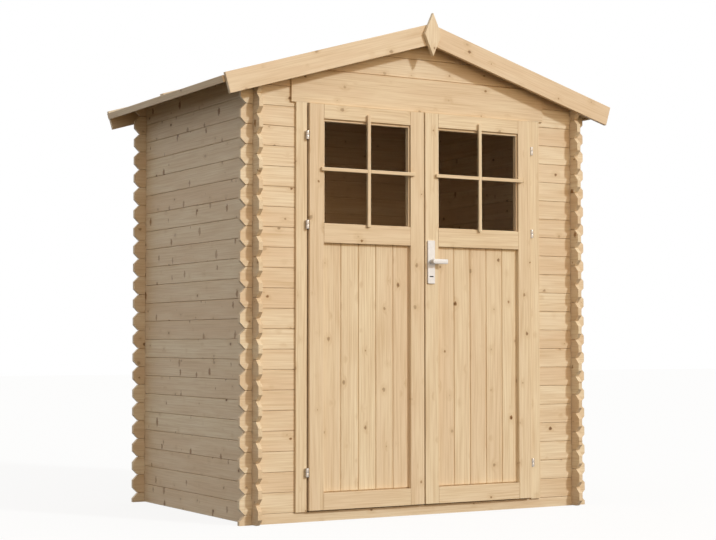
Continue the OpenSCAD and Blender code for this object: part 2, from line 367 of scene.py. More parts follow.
def per_metre(pattern_mm: tuple[float, float]) -> tuple[float, float, float]:
    """Turns a pattern's length and width in millimetres into a scale along, across and into a board."""
    length, width = pattern_mm
    return 1 / (length * MM), 1 / (width * MM), 1 / (width * MM)


def add_node(tree: bpy.types.NodeTree, kind: str, links: dict[str | int, Any] | None = None,
             **settings: Any) -> bpy.types.Node:
    """Adds a shader node with its settings, values and links.

    Args:
        tree: the node tree.
        kind: the node's type name after ShaderNode.
        links: input sockets, each with a value, an output socket, or a node whose first output is linked.
        settings: the node's own properties.

    Returns:
        The new node.
    """
    made = tree.nodes.new("ShaderNode" + kind)
    for name, value in settings.items():
        setattr(made, name, value)
    for socket, value in (links or {}).items():
        if isinstance(value, bpy.types.Node):
            value = next(output for output in value.outputs if output.enabled)
        if isinstance(value, bpy.types.NodeSocket):
            tree.links.new(value, made.inputs[socket])
        else:
            made.inputs[socket].default_value = value
    return made


def fresh_tree(owner: bpy.types.Material | bpy.types.World) -> bpy.types.NodeTree:
    """Switches a material or a world to nodes.

    Args:
        owner: the material or the world.

    Returns:
        Its node tree, emptied.
    """
    owner.use_nodes = True
    owner.node_tree.nodes.clear()
    return owner.node_tree


@dataclass(frozen=True)
class Finish:
    """A material of the shed, named for what it is, and the record's slot that it belongs to."""

    name: str
    slot: str

    def material(self) -> bpy.types.Material:
        """Draws the material, or finds it if it is already drawn.

        Returns:
            The material.
        """
        made = bpy.data.materials.get(self.name)
        if not made:
            made = bpy.data.materials.new(self.name)
            tree = fresh_tree(made)
            add_node(tree, "OutputMaterial", {"Surface": self.draw(tree)})
        return made

    def draw(self, tree: bpy.types.NodeTree) -> bpy.types.Node:
        """Adds the finish's nodes and returns the shader node; each kind of finish has its own."""
        raise NotImplementedError


@dataclass(frozen=True)
class Knots:
    """Branches in a board, in millimetres: at most one in each cell of a loose net along and across it.

    Attributes:
        spread: length and width of a cell.
        radius: least and most radius; a cell that draws one below zero has no knot.
        stretch: how far a knot is drawn out along and across the board.
        dark_shares: how far the palest and the darkest knot cover the wood.
        edge: where a knot's brown fades, from inside its rim to outside.
        ragged: how far the rim wavers.
        ragged_width: length of a waver.
        loose_share: how loosely the net is strewn, up to 1.
    """

    spread: tuple[float, float]
    radius: tuple[float, float]
    stretch: tuple[float, float]
    dark_shares: tuple[float, float]
    edge: tuple[float, float] = (-1.8, 2)
    ragged: float = 9
    ragged_width: float = 9
    loose_share: float = 0.9

    def draw(self, tree: bpy.types.NodeTree, grain: bpy.types.NodeSocket) -> tuple[bpy.types.Node, bpy.types.Node]:
        """Adds the nodes of the knots.

        Args:
            tree: the material's node tree.
            grain: places along, across and into the board.

        Returns:
            The node that gives the distance outside the nearest knot in metres, below zero in it, and the
            node that gives how far its brown covers the wood.
        """
        add = functools.partial(add_node, tree)
        cell = (self.spread[0] * MM, self.spread[1] * MM, 1)
        cells = add("VectorMath", {0: grain, 1: cell}, operation="DIVIDE")
        net = add("TexVoronoi", {"Vector": cells, "Scale": 1, "Randomness": self.loose_share}, voronoi_dimensions="2D")
        offset = add("VectorMath", {0: cells, 1: net.outputs["Position"]}, operation="SUBTRACT")
        shape = (cell[0] / self.stretch[0], cell[1] / self.stretch[1], 0)
        offset = add("VectorMath", {0: offset, 1: shape}, operation="MULTIPLY")
        reach = add("VectorMath", {0: offset}, operation="LENGTH").outputs["Value"]
        chance = add("SeparateColor", {0: net.outputs["Color"]}).outputs
        radius = add("MapRange", {0: chance[0], 3: self.radius[0] * MM, 4: self.radius[1] * MM})
        outside = add("Math", {0: reach, 1: radius}, operation="SUBTRACT")
        ragged = add("TexNoise", {"Vector": grain, "Scale": 1 / (self.ragged_width * MM), "Detail": 2})
        outside = add("Math", {0: ragged, 1: self.ragged * MM, 2: outside}, operation="MULTIPLY_ADD")
        dark = add("MapRange", {0: chance[1], 3: self.dark_shares[0], 4: self.dark_shares[1]})
        share = add("MapRange", {0: outside, 1: self.edge[0] * MM, 2: self.edge[1] * MM, 3: dark, 4: 0},
                    interpolation_type="SMOOTHSTEP")
        return outside, share


# Branches sawn square, small dead twigs, and branches sawn lengthwise, which show as upright spikes
ROUND_KNOTS = Knots(spread=(190, 88), radius=(-4, 12.5), stretch=(1.3, 1), dark_shares=(0.25, 1))
PIN_KNOTS = Knots(spread=(190, 88), radius=(-4, 5.5), stretch=(1.3, 1), dark_shares=(0.2, 0.6))
SPIKE_KNOTS = Knots(spread=(170, 92), radius=(-1, 12), stretch=(1.6, 2.6), dark_shares=(0.6, 1))


@dataclass(frozen=True)
class Softwood(Finish):
    """Spruce, sawn and planed. Growth rings give soft streaks along each board, branches give brown knots
    that the grain bends round, and boards differ in tone from pale straw to a warmer tan.

    Attributes:
        early, late, blush: colours of early wood, of late wood and of the warmest boards.
        knot, knot_heart, end: colours of a knot, of its heart and of sawn ends.
        knots: kinds of knot; the grain bends round those of the first kind.
        ring_mm, ring_bend_mm: distance between rings, and how far they bend at a knot.
        wander_mm, drift_mm: length and width of the rings' slow wander, and how far they go.
        fibre_mm, cloud_mm: length and width of a streak of fibres and of a broad change of tone.
        heart_mm, halo_mm: where a knot's heart fades inside its rim, and how far its halo reaches outside.
        relief_mm: height of the grain's relief.
        fibre_range, cloud_range: values of each noise that give the least and the most.
        ring_shares, fibre_shares: least and most that rings and fibres darken the wood.
        patch_share, halo_share, end_share: how far clouds, halos and sawn ends change the colour.
        fibre_rough: how strong the finest fibres are.
        late_depth: how far late wood lies under early wood, as a share of the relief.
        bump_share: how strongly the relief shows.
        roughness: roughness of early and of late wood.
        sheen: level of gloss.
    """

    early: str
    late: str
    blush: str
    knot: str
    knot_heart: str
    end: str
    knots: tuple[Knots, ...] = (ROUND_KNOTS,)
    ring_mm: float = 12
    ring_bend_mm: float = 9
    wander_mm: tuple[float, float] = (900, 140)
    drift_mm: float = 50
    fibre_mm: tuple[float, float] = (260, 5)
    cloud_mm: tuple[float, float] = (380, 66)
    heart_mm: tuple[float, float] = (-5, -1.5)
    halo_mm: float = 24
    relief_mm: float = 0.6
    fibre_range: tuple[float, float] = (0.3, 0.75)
    cloud_range: tuple[float, float] = (0.32, 0.68)
    ring_shares: tuple[float, float] = (0.07, 0.35)
    fibre_shares: tuple[float, float] = (-0.25, 0.55)
    patch_share: float = 0.28
    halo_share: float = 0.35
    end_share: float = 0.15
    fibre_rough: float = 0.62
    late_depth: float = 0.6
    bump_share: float = 0.2
    roughness: tuple[float, float] = (0.5, 0.4)
    sheen: float = 0.3

    def rings(self, tree: bpy.types.NodeTree, grain: bpy.types.NodeSocket,
              swirl: bpy.types.Node) -> bpy.types.Node:
        """Adds growth rings round a pith that wanders along the board. Real ones are 2 to 5 mm apart and
        would not show, so they are drawn coarser.

        Args:
            tree: the material's node tree.
            grain: places along, across and into the board from its pith.
            swirl: 1 at a knot, falling to 0 a little way off, where the rings bend.

        Returns:
            The node that gives 0 in early wood and 1 in late wood.
        """
        add = functools.partial(add_node, tree)
        slow = add("VectorMath", {0: grain, 1: per_metre(self.wander_mm)}, operation="MULTIPLY")
        wander = add("TexNoise", {"Vector": slow, "Scale": 1, "Detail": 2})
        # The wander goes to either side of zero, and only across and into the board
        drift = add("VectorMath", {0: wander.outputs["Color"], 1: (0.5, 0.5, 0.5)}, operation="SUBTRACT")
        drift = add("VectorMath", {0: drift, 1: (0, self.drift_mm * MM, self.drift_mm * MM)}, operation="MULTIPLY")
        bent = add("VectorMath", {0: grain, 1: drift}, operation="ADD")
        bent = add("VectorMath", {0: bent, 1: (0, 1, 1)}, operation="MULTIPLY")
        reach = add("VectorMath", {0: bent}, operation="LENGTH").outputs["Value"]
        reach = add("Math", {0: swirl, 1: self.ring_bend_mm * MM, 2: reach}, operation="MULTIPLY_ADD")
        half = self.ring_mm * MM / 2
        wave = add("Math", {0: reach, 1: half}, operation="PINGPONG")
        return add("MapRange", {0: wave, 1: 0, 2: half, 3: 0, 4: 1}, interpolation_type="SMOOTHSTEP")

    def draw(self, tree: bpy.types.NodeTree) -> bpy.types.Node:
        """Adds the wood's nodes, which read the board's own grain, tone and end attributes.

        Args:
            tree: the material's node tree.

        Returns:
            The shader node.
        """
        add = functools.partial(add_node, tree)
        eased = {"interpolation_type": "SMOOTHSTEP"}
        colours = {"data_type": "RGBA"}
        grain = add("Attribute", attribute_name="grain").outputs["Vector"]
        tone = add("Attribute", attribute_name="tone").outputs["Fac"]
        end_face = add("Attribute", attribute_name="end").outputs["Fac"]

        (branch, knot), *others = [kind.draw(tree, grain) for kind in self.knots]
        for _, share in others:
            knot = add("Math", {0: knot, 1: share}, operation="MAXIMUM")
        heart = add("MapRange", {0: branch, 1: self.heart_mm[0] * MM, 2: self.heart_mm[1] * MM, 3: 1, 4: 0}, **eased)
        swirl = add("MapRange", {0: branch, 1: 0, 2: self.halo_mm * MM, 3: 1, 4: 0}, **eased)
        late = self.rings(tree, grain, swirl)

        # Fibres are drawn coarser than real ones, so that they show, and clouds are broad changes of tone
        streaks = add("VectorMath", {0: grain, 1: per_metre(self.fibre_mm)}, operation="MULTIPLY")
        fibre = add("TexNoise", {"Vector": streaks, "Scale": 1, "Detail": 3, "Roughness": self.fibre_rough})
        broad = add("VectorMath", {0: grain, 1: per_metre(self.cloud_mm)}, operation="MULTIPLY")
        cloud = add("TexNoise", {"Vector": broad, "Scale": 1, "Detail": 2})

        noises = ((cloud, self.cloud_range, self.ring_shares), (fibre, self.fibre_range, self.fibre_shares),
                  (cloud, self.cloud_range, (-self.patch_share, self.patch_share)))
        rings, share, patch = [
            add("MapRange", {0: noise, 1: reach[0], 2: reach[1], 3: shares[0], 4: shares[1]}, **eased)
            for noise, reach, shares in noises]
        share = add("Math", {0: late, 1: rings, 2: share}, operation="MULTIPLY_ADD")
        colour = add("Mix", {0: share, 6: linear(self.early), 7: linear(self.late)}, clamp_factor=False, **colours)
        warm = add("Math", {0: tone, 1: patch}, operation="ADD")
        warmest = add("Mix", {0: share, 6: linear(self.blush), 7: linear(self.late)}, **colours)
        colour = add("Mix", {0: warm, 6: colour, 7: warmest}, **colours)
        halo = add("Math", {0: swirl, 1: self.halo_share}, operation="MULTIPLY")
        colour = add("Mix", {0: halo, 6: colour, 7: linear(self.late)}, **colours)
        bark = add("Mix", {0: heart, 6: linear(self.knot), 7: linear(self.knot_heart)}, **colours)
        colour = add("Mix", {0: knot, 6: colour, 7: bark}, **colours)
        sawn = add("Math", {0: end_face, 1: self.end_share}, operation="MULTIPLY")
        colour = add("Mix", {0: sawn, 6: colour, 7: linear(self.end)}, **colours)

        relief = add("Math", {0: late, 1: -self.late_depth, 2: fibre}, operation="MULTIPLY_ADD")
        bump = add("Bump", {"Strength": self.bump_share, "Distance": self.relief_mm * MM, "Height": relief})
        rough = add("MapRange", {0: late, 3: self.roughness[0], 4: self.roughness[1]})
        return add("BsdfPrincipled", {"Base Color": colour, "Normal": bump, "Specular IOR Level": self.sheen,
                                      "Roughness": rough})


@dataclass(frozen=True)
class RoofingFelt(Finish):
    """Bitumen felt strewn with slate grit: dull, speckled, slightly uneven. The grit is about 1 mm and is
    drawn at 5 mm, so that it shows."""

    dark: str
    pale: str
    grit_mm: float = 5
    patch_mm: float = 170
    relief_mm: float = 1
    bump_share: float = 0.5
    roughness: float = 0.93

    def draw(self, tree: bpy.types.NodeTree) -> bpy.types.Node:
        """Adds the felt's nodes: pale grit on dark bitumen, thinner in patches.

        Args:
            tree: the material's node tree.

        Returns:
            The shader node.
        """
        add = functools.partial(add_node, tree)
        place = add("TexCoord").outputs["Object"]
        grit = add("TexVoronoi", {"Vector": place, "Scale": 1 / (self.grit_mm * MM)})
        patch = add("TexNoise", {"Vector": place, "Scale": 1 / (self.patch_mm * MM), "Detail": 4})
        speck = add("SeparateColor", {0: grit.outputs["Color"]})
        share = add("Math", {0: speck, 1: patch}, operation="MULTIPLY")
        colour = add("Mix", {0: share, 6: linear(self.dark), 7: linear(self.pale)}, data_type="RGBA")
        bump = add("Bump", {"Strength": self.bump_share, "Distance": self.relief_mm * MM,
                            "Height": grit.outputs["Distance"]})
        return add("BsdfPrincipled", {"Base Color": colour, "Roughness": self.roughness, "Normal": bump})


@dataclass(frozen=True)
class Metal(Finish):
    """Plain metal with a fine uneven lustre: zinc plate has soft grey patches, satin aluminium a pale even
    sheen. The patches are the size of plating crystals, drawn a few millimetres wide."""

    bright: str
    dull: str
    patch_mm: float
    rough: tuple[float, float]
    metallic: float = 1.0
    patch_range: tuple[float, float] = (0.3, 0.7)

    def draw(self, tree: bpy.types.NodeTree) -> bpy.types.Node:
        """Adds the metal's nodes: a noise that changes its colour and its roughness together.

        Args:
            tree: the material's node tree.

        Returns:
            The shader node.
        """
        add = functools.partial(add_node, tree)
        place = add("TexCoord").outputs["Object"]
        patch = add("TexNoise", {"Vector": place, "Scale": 1 / (self.patch_mm * MM), "Detail": 3})
        colour = add("Mix", {0: patch, 6: linear(self.bright), 7: linear(self.dull)}, data_type="RGBA")
        rough = add("MapRange", {0: patch, 1: self.patch_range[0], 2: self.patch_range[1], 3: self.rough[0],
                                 4: self.rough[1]})
        return add("BsdfPrincipled", {"Base Color": colour, "Metallic": self.metallic, "Roughness": rough})


@dataclass(frozen=True)
class Glazing(Finish):
    """Clear float glass: see-through, with a faint sheen that is duller where dust lies on it. Float glass
    has an IOR of 1.5; it is lower here, because the real panes mirror little."""

    tint: str
    dust_mm: float = 60
    dust_range: tuple[float, float] = (0.4, 0.8)
    rough: tuple[float, float] = (0, 0.06)
    ior: float = 1.1
    clear_share: float = 0.85

    def draw(self, tree: bpy.types.NodeTree) -> bpy.types.Node:
        """Adds the glass's nodes: mostly plain see-through, so that daylight reaches the room, with some gloss.

        Args:
            tree: the material's node tree.

        Returns:
            The shader node.
        """
        add = functools.partial(add_node, tree)
        place = add("TexCoord").outputs["Object"]
        dust = add("TexNoise", {"Vector": place, "Scale": 1 / (self.dust_mm * MM), "Detail": 5})
        rough = add("MapRange", {0: dust, 1: self.dust_range[0], 2: self.dust_range[1], 3: self.rough[0],
                                 4: self.rough[1]})
        sheen = add("BsdfPrincipled", {"Base Color": linear(self.tint), "Transmission Weight": 1.0, "IOR": self.ior,
                                       "Roughness": rough})
        clear = add("BsdfTransparent", {"Color": linear(self.tint)})
        return add("MixShader", {0: self.clear_share, 1: sheen, 2: clear})


# Planed spruce: straw-coloured, softly streaked, with scattered brown knots
PINE = Softwood("planed_spruce", "pine", early="#E8D7BA", late="#CDB28C", blush="#DFC7A8", knot="#946D42",
                knot_heart="#5E4124", end="#D6BD93")
# Spruce sawn through the branches: the same wood with dark upright spikes beside the round knots
SIDE_PINE = replace(PINE, name="quarter_sawn_spruce", knots=(ROUND_KNOTS, SPIKE_KNOTS))
# Joinery spruce, planed finer and left unpolished: a little yellower and more matt
DOOR_PINE = replace(PINE, name="planed_spruce_joinery", early="#E7D5B6", blush="#E2CCAE", sheen=0.15)
# Joinery spruce picked for thin mouldings: only pin knots
CLEAR_PINE = replace(DOOR_PINE, name="clear_spruce_joinery", knots=(PIN_KNOTS,))
# Spruce boarding left rough from the saw: the same grain, dull and without gloss
ROOF_PINE = replace(PINE, name="sawn_spruce_boarding", early="#E4D2B4", late="#C8AC86", roughness=(0.8, 0.7),
                    sheen=0.08)
# Sawn timber, pressure treated: greenish olive, dull
JOIST_WOOD = Softwood("treated_sawn_timber", "joist_timber", early="#B7A97F", late="#94875B", blush="#A79A6E",
                      knot="#6E5A38", knot_heart="#4B3B22", end="#857A50", roughness=(0.8, 0.7), sheen=0.1)
# Bitumen felt with slate grit: dark grey, speckled and dull
FELT = RoofingFelt("slate_grit_felt", "roofing_felt", dark="#3B3C3D", pale="#7C7D7C")
# Rolled steel, zinc plated: warm grey with soft bright patches
ZINC = Metal("zinc_plated_steel", "hinge_zinc", bright="#CFC8C0", dull="#A8A098", patch_mm=6, rough=(0.35, 0.5))
# Cast aluminium with a satin lacquer: pale, even and half matt, so it is only partly metallic
SATIN = Metal("satin_aluminium", "handle_satin", bright="#D9D7D6", dull="#CBC8C6", patch_mm=9, rough=(0.5, 0.6),
              metallic=0.35)
# Steel of the lock's plug inside the key slot, coloured nearly black and dull: painted shade that stands for the
# darkness deep in the slot
SLOT_SHADE_STEEL = Metal("blackened_steel", "handle_satin", bright="#3A3733", dull="#24221F", patch_mm=3, rough=(0.6, 0.7))
# Float glass: neutral and clear, so that the dark room shows behind it
GLASS = Glazing("clear_float_glass", "window_glass", tint="#FAF8F6")


@dataclass
class Grain:
    """Tells each board where its grain runs, with a place of its own in the wood for every board.

    Attributes:
        start: least and most place of a board along the wood, in metres.
        pith_aside: how far to either side of a board's middle its pith may lie.
        pith_depth: least and most distance of the pith before or behind a board.
        end_cosine: a face that looks along the grain by more than this is a sawn end.
        draw: the source of random numbers.
    """

    start: tuple[float, float] = (2, 40)
    pith_aside: float = 50 * MM
    pith_depth: tuple[float, float] = (20 * MM, 90 * MM)
    end_cosine: float = 0.5
    draw: random.Random = field(default_factory=lambda: random.Random(SEED))

    def tag(self, board: bpy.types.Object, along: Vector, across: Vector) -> bpy.types.Object:
        """Writes a board's grain, tone and end-grain attributes.

        Args:
            board: the finished board.
            along: unit vector along the grain.
            across: unit vector across the board's face.

        Returns:
            The same board.
        """
        mesh = board.data
        axes = (along, across, along.cross(across))
        points = [vertex.co.copy() for vertex in mesh.vertices]
        middle = (Vector(map(min, *points)) + Vector(map(max, *points))) / 2
        pith = Vector((self.draw.uniform(*self.start), self.draw.uniform(-self.pith_aside, self.pith_aside),
                       self.draw.choice((-1, 1)) * self.draw.uniform(*self.pith_depth)))
        grain = [Vector((point - middle).dot(axis) for axis in axes) + pith for point in points]
        ends = [float(abs(face.normal.dot(along)) > self.end_cosine) for face in mesh.polygons]
        values = (("grain", "FLOAT_VECTOR", "POINT", "vector", [share for place in grain for share in place]),
                  ("tone", "FLOAT", "POINT", "value", [self.draw.random()] * len(points)),
                  ("end", "FLOAT", "FACE", "value", ends))
        for name, kind, domain, field_name, numbers in values:
            mesh.attributes.new(name, kind, domain).data.foreach_set(field_name, numbers)
        return board


GRAIN = Grain()


def put(piece: bpy.types.Object, name: str, finish: Finish, body: Body, *nodes: str) -> bpy.types.Object:
    """Names, dresses and hangs a finished piece on its body.

    Args:
        piece: the finished piece.
        name: its name.
        finish: its material.
        body: the body that it moves with.
        nodes: CAD nodes that it stands for.

    Returns:
        The same piece.
    """
    piece.name = piece.data.name = name
    piece.data.materials.clear()
    piece.data.materials.append(finish.material())
    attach(piece, body.value)
    if nodes:
        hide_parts(*nodes)
    LOG.info("%s: %d faces of %s", name, len(piece.data.polygons), finish.name)
    return piece


# Places that several sub-assemblies share

@dataclass(frozen=True)
class ShedSizes:
    """Main places of the shed in metres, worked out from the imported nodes.

    Attributes:
        plank_h, plank_t: height that a wall plank covers, and its thickness.
        side_x, log_x: X of the right wall's outer face and of the log ends' tips.
        rear_y, log_y: Y of the rear wall's outer face and of the log ends' tips.
        roof_t, pitch: thickness of the roof boards and their slope in radians.
        ridge_z: height of their underside at the ridge.
        ridge_gap: room between the middle of the ridge and what is sawn plumb there.
    """

    plank_h: float
    plank_t: float
    side_x: float
    log_x: float
    rear_y: float
    log_y: float
    roof_t: float
    pitch: float
    ridge_z: float
    ridge_gap: float = 0.3 * MM

    @classmethod
    def from_frame(cls) -> "ShedSizes":
        """Reads the places from the nodes; the square foot of the roof boards gives their slope.

        Returns:
            The sizes.
        """
        sill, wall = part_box("front_sill"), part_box("right_wall")
        boards = [vertex.co for vertex in frame["nodes"]["right_roof_boards"].data.vertices]
        foot, toe = min(boards, key=lambda point: point.z), max(boards, key=lambda point: point.x)
        thick, pitch = math.hypot(toe.x - foot.x, toe.z - foot.z), math.atan2(toe.x - foot.x, toe.z - foot.z)
        ridge = max(point.z for point in boards) - thick / math.cos(pitch)
        return cls(plank_h=2 * sill[1].z, plank_t=sill[1].y - sill[0].y, side_x=wall[1].x, log_x=sill[1].x,
                   rear_y=-sill[0].y, log_y=wall[1].y, roof_t=thick, pitch=pitch, ridge_z=ridge)

    @property
    def slope(self) -> float:
        """Fall of the roof for each metre along X."""
        return math.tan(self.pitch)

    def under_roof(self, piece: bpy.types.Object, clear: float = 0.2 * MM) -> bpy.types.Object:
        """Saws a piece off under both slopes of the roof.

        Args:
            piece: the piece to saw.
            clear: gap left under the roof boards.

        Returns:
            The same piece.
        """
        for side in Side:
            trim(piece, (0, 0, self.ridge_z - clear), (side.value * self.slope, 0, 1))
        return piece

    def slope_axes(self, side: Side) -> tuple[Vector, Vector]:
        """Unit vectors down one slope and square out of it."""
        fall, run = math.sin(self.pitch), math.cos(self.pitch)
        return Vector((side.value * run, 0, -fall)), Vector((side.value * fall, 0, run))

    def slope_ranges(self, node: str, side: Side) -> list[tuple[float, float]]:
        """Measures a node that lies on one slope.

        Args:
            node: name of the CAD node.
            side: the slope.

        Returns:
            Its lowest and highest place down the slope from the ridge, along Y, and square out of the
            underside of the roof boards.
        """
        down, out = self.slope_axes(side)
        points = [vertex.co - Z * self.ridge_z for vertex in frame["nodes"][node].data.vertices]
        places = [[point.dot(axis) for point in points] for axis in (down, Y, out)]
        return [(min(row), max(row)) for row in places]

    def sloped(self, side: Side, reach: tuple[float, float], depth: tuple[float, float],
               level: tuple[float, float]) -> bpy.types.Object:
        """Lays a plain board on one slope and saws it plumb where it would cross the ridge.

        Args:
            side: the slope.
            reach: start and end down the slope, from the ridge.
            depth: lowest and highest Y.
            level: lowest and highest distance square out of the underside of the roof boards.

        Returns:
            The board in place.
        """
        along = sorted(side.value * distance for distance in reach)
        made = block((along[0], depth[0], level[0]), (along[1], depth[1], level[1]))
        return self.on_slope(made, side)

    def on_slope(self, piece: bpy.types.Object, side: Side) -> bpy.types.Object:
        """Turns a piece made flat along X, with the ridge at X zero, onto one slope, plumb at the ridge.

        Args:
            piece: the piece, at its height over the underside of the roof boards.
            side: the slope.

        Returns:
            The same piece.
        """
        piece.rotation_euler = (0, side.value * self.pitch, 0)
        piece.location = (0, 0, self.ridge_z)
        return trim(settle(piece), (side.value * self.ridge_gap, 0, 0), (-side.value, 0, 0))


@dataclass(frozen=True)
class MatchedBoard:
    """A planed board with a tongue: its long edges are eased, and a narrow gap shows at each joint.

    Attributes:
        width, thickness: what the board covers, and how thick it is.
        chamfer: width of its eased edges.
        gap: half of the gap between two boards.
        shoulder_share: width of the shoulder on each side of the tongue, as a share of the thickness.
    """

    width: float
    thickness: float
    chamfer: float = 1.2 * MM
    gap: float = 1.1 * MM
    shoulder_share: float = 1 / 3

    def blank(self, length: float) -> bpy.types.Object:
        """A board along X with its middle at the origin and its width upright.

        Args:
            length: length in metres.

        Returns:
            The board without its eased edges.
        """
        half = Vector((length / 2, self.thickness / 2, self.width / 2 - self.gap))
        return block(-half, half)

    def tongue(self, board: bpy.types.Object) -> bpy.types.Object:
        """Raises the middle of both long edges, so that boards touch there and leave a gap at the faces.

        Args:
            board: the blank board.

        Returns:
            The same board.
        """
        with editing(board, Part.FACE, lambda face: abs(face.normal.z) > FACING):
            bpy.ops.mesh.inset(thickness=self.thickness * self.shoulder_share, depth=self.gap, use_individual=True)
        return board

    def eased(self, board: bpy.types.Object) -> bpy.types.Object:
        """Chamfers the four long edges at the faces.

        Args:
            board: the board with its tongue.

        Returns:
            The same board.
        """
        half_w, half_t = self.width / 2 - self.gap, self.thickness / 2
        return ease(board, self.chamfer, lambda edge: runs_along(edge, X) and all(
            abs(abs(vertex.co.z) - half_w) < TINY and abs(abs(vertex.co.y) - half_t) < TINY
            for vertex in edge.verts))

    def plain(self, length: float) -> bpy.types.Object:
        """A finished board with square ends."""
        return self.eased(self.tongue(self.blank(length)))


@dataclass
class PlankWalls:
    """Walls of stacked planks whose notched ends lock over each other at the corners.

    Attributes:
        sizes: the shed's main places.
        log_cut: how far the corners of a log end are sawn back.
        play: room on each side of a plank in its notch.
        log_reach: an end that is closer than this to a crossing wall is a log end.
        core_share: height from a plank's middle to its notches, as a share of the plank.
        top_band, top_spare: band at the top of a side wall that is raised before it is planed, and how far.
    """

    sizes: ShedSizes
    log_cut: float = 25 * MM
    play: float = 1.4 * MM
    log_reach: float = 200 * MM
    core_share: float = 0.25
    top_band: float = 4 * MM
    top_spare: float = 10 * MM

    @property
    def board(self) -> MatchedBoard:
        """The section of a wall plank."""
        return MatchedBoard(self.sizes.plank_h, self.sizes.plank_t)

    def plank(self, start: float, end: float, crossings: Sequence[float]) -> bpy.types.Object:
        """Models one plank along X with blunt-pointed, notched log ends.

        Args:
            start: X of its left end.
            end: X of its right end.
            crossings: X of the middle of each wall that it crosses.

        Returns:
            The plank, with its middle height at Z zero and its middle thickness at Y zero.
        """
        size = self.sizes
        board, half_t, core = self.board, size.plank_t / 2, size.plank_h * self.core_share
        made = board.blank(end - start)
        made.location.x = (start + end) / 2
        settle(made)
        tips = [tip for tip in (start, end) if any(abs(tip - x) < self.log_reach for x in crossings)]
        if tips:
            ease(made, self.log_cut, lambda edge: runs_along(edge, Y) and any(lies_at(edge, 0, tip) for tip in tips))
        board.tongue(made)
        for x in crossings:
            for bottom, top in ((-size.plank_h, -core), (core, size.plank_h)):
                carve(made, block((x - half_t - self.play, -size.plank_t, bottom),
                                  (x + half_t + self.play, size.plank_t, top)))
        return board.eased(made)

    def stack(self, pattern: bpy.types.Object, heights: Sequence[float], y: float) -> list[bpy.types.Object]:
        """Copies a plank of a front or rear wall to each height.

        Args:
            pattern: the plank at the origin.
            heights: Z of the middle of each copy.
            y: Y of the middle of the wall.

        Returns:
            The copies, each with its own grain.
        """
        return [GRAIN.tag(twin(pattern, (0, y, z)), X, Z) for z in heights]

    def side_wall(self, side: Side) -> None:
        """Builds one side wall, with its top planed to the roof's slope.

        Args:
            side: the hand of the shed.
        """
        size = self.sizes
        cross = size.rear_y - size.plank_t / 2
        pattern = self.plank(-size.log_y, size.log_y, (-cross, cross))
        rows = round(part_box("right_wall")[1].z / size.plank_h)
        x = side.value * (size.side_x - size.plank_t / 2)
        planks = [twin(pattern, (x, 0, (row + 0.5) * size.plank_h), math.pi / 2) for row in range(rows)]
        top = size.plank_h * rows
        with editing(planks[-1], Part.VERT, lambda vertex: vertex.co.z > top - self.top_band):
            bpy.ops.transform.translate(value=(0, 0, self.top_spare))
        size.under_roof(planks[-1])
        for plank in planks:
            GRAIN.tag(plank, Y, Z)
        discard(pattern)
        node = f"{side.label}_wall"
        put(joined(planks), f"{node}_planks", SIDE_PINE, Body.SHED, node)

    def rear_wall(self) -> None:
        """Builds the rear wall up into its gable."""
        size = self.sizes
        y = size.rear_y - size.plank_t / 2
        pattern = self.full_plank()
        rows = math.ceil(size.ridge_z / size.plank_h)
        planks = self.gable_planks(pattern, range(rows), y)
        discard(pattern)
        put(joined(planks), "rear_wall_planks", PINE, Body.SHED, "rear_wall")

    def full_plank(self) -> bpy.types.Object:
        """Models a plank over the whole width of the front or rear wall.

        Returns:
            The plank at the origin.
        """
        size = self.sizes
        cross = size.side_x - size.plank_t / 2
        return self.plank(-size.log_x, size.log_x, (-cross, cross))

    def gable_planks(self, pattern: bpy.types.Object, rows: Sequence[int], y: float) -> list[bpy.types.Object]:
        """Copies a plank to each row, sawn off at the ground and under the roof where it reaches them.

        Args:
            pattern: the plank at the origin.
            rows: rows of the wall, where row 0 is the half plank at the ground.
            y: Y of the middle of the wall.

        Returns:
            The planks with their grain.
        """
        size = self.sizes
        eave_z = size.ridge_z - size.log_x * size.slope
        made = []
        for row in rows:
            plank = twin(pattern, (0, y, row * size.plank_h))
            if row == 0:
                trim(plank, (0, 0, 0), (0, 0, -1))
            if (row + 0.5) * size.plank_h > eave_z:
                size.under_roof(plank)
            made.append(GRAIN.tag(plank, X, Z))
        return made

    def front_wall(self) -> None:
        """Builds the front wall round the doorway: sill, both flanks, lintel and gable."""
        size = self.sizes
        y = size.plank_t / 2 - size.rear_y
        cross = size.side_x - size.plank_t / 2
        first_gable = round(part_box("front_gable")[0].z / size.plank_h + 0.5)
        rows = range(1, first_gable)
        pattern = self.full_plank()
        for node, levels in (("front_sill", range(1)),
                             ("front_gable", range(first_gable, math.ceil(size.ridge_z / size.plank_h)))):
            planks = self.gable_planks(pattern, levels, y)
            put(joined(planks), f"{node}_planks", PINE, Body.SHED, node)
        discard(pattern)
        for side in Side:
            node = f"front_wall_{side.label}"
            low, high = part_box(node)
            pattern = self.plank(low.x, high.x, (side.value * cross,))
            planks = self.stack(pattern, [row * size.plank_h for row in rows], y)
            discard(pattern)
            put(joined(planks), f"{node}_planks", PINE, Body.SHED, node)
        low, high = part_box("front_lintel")
        lintel = self.plank(low.x, high.x, ())
        lintel.location = (0, y, (first_gable - 1) * size.plank_h)
        trim(settle(lintel), (0, 0, low.z), (0, 0, -1))
        GRAIN.tag(lintel, X, Z)
        put(lintel, "front_lintel_plank", PINE, Body.SHED, "front_lintel")

    def build(self) -> None:
        """Builds all four walls."""
        for side in Side:
            self.side_wall(side)
        self.rear_wall()
        self.front_wall()


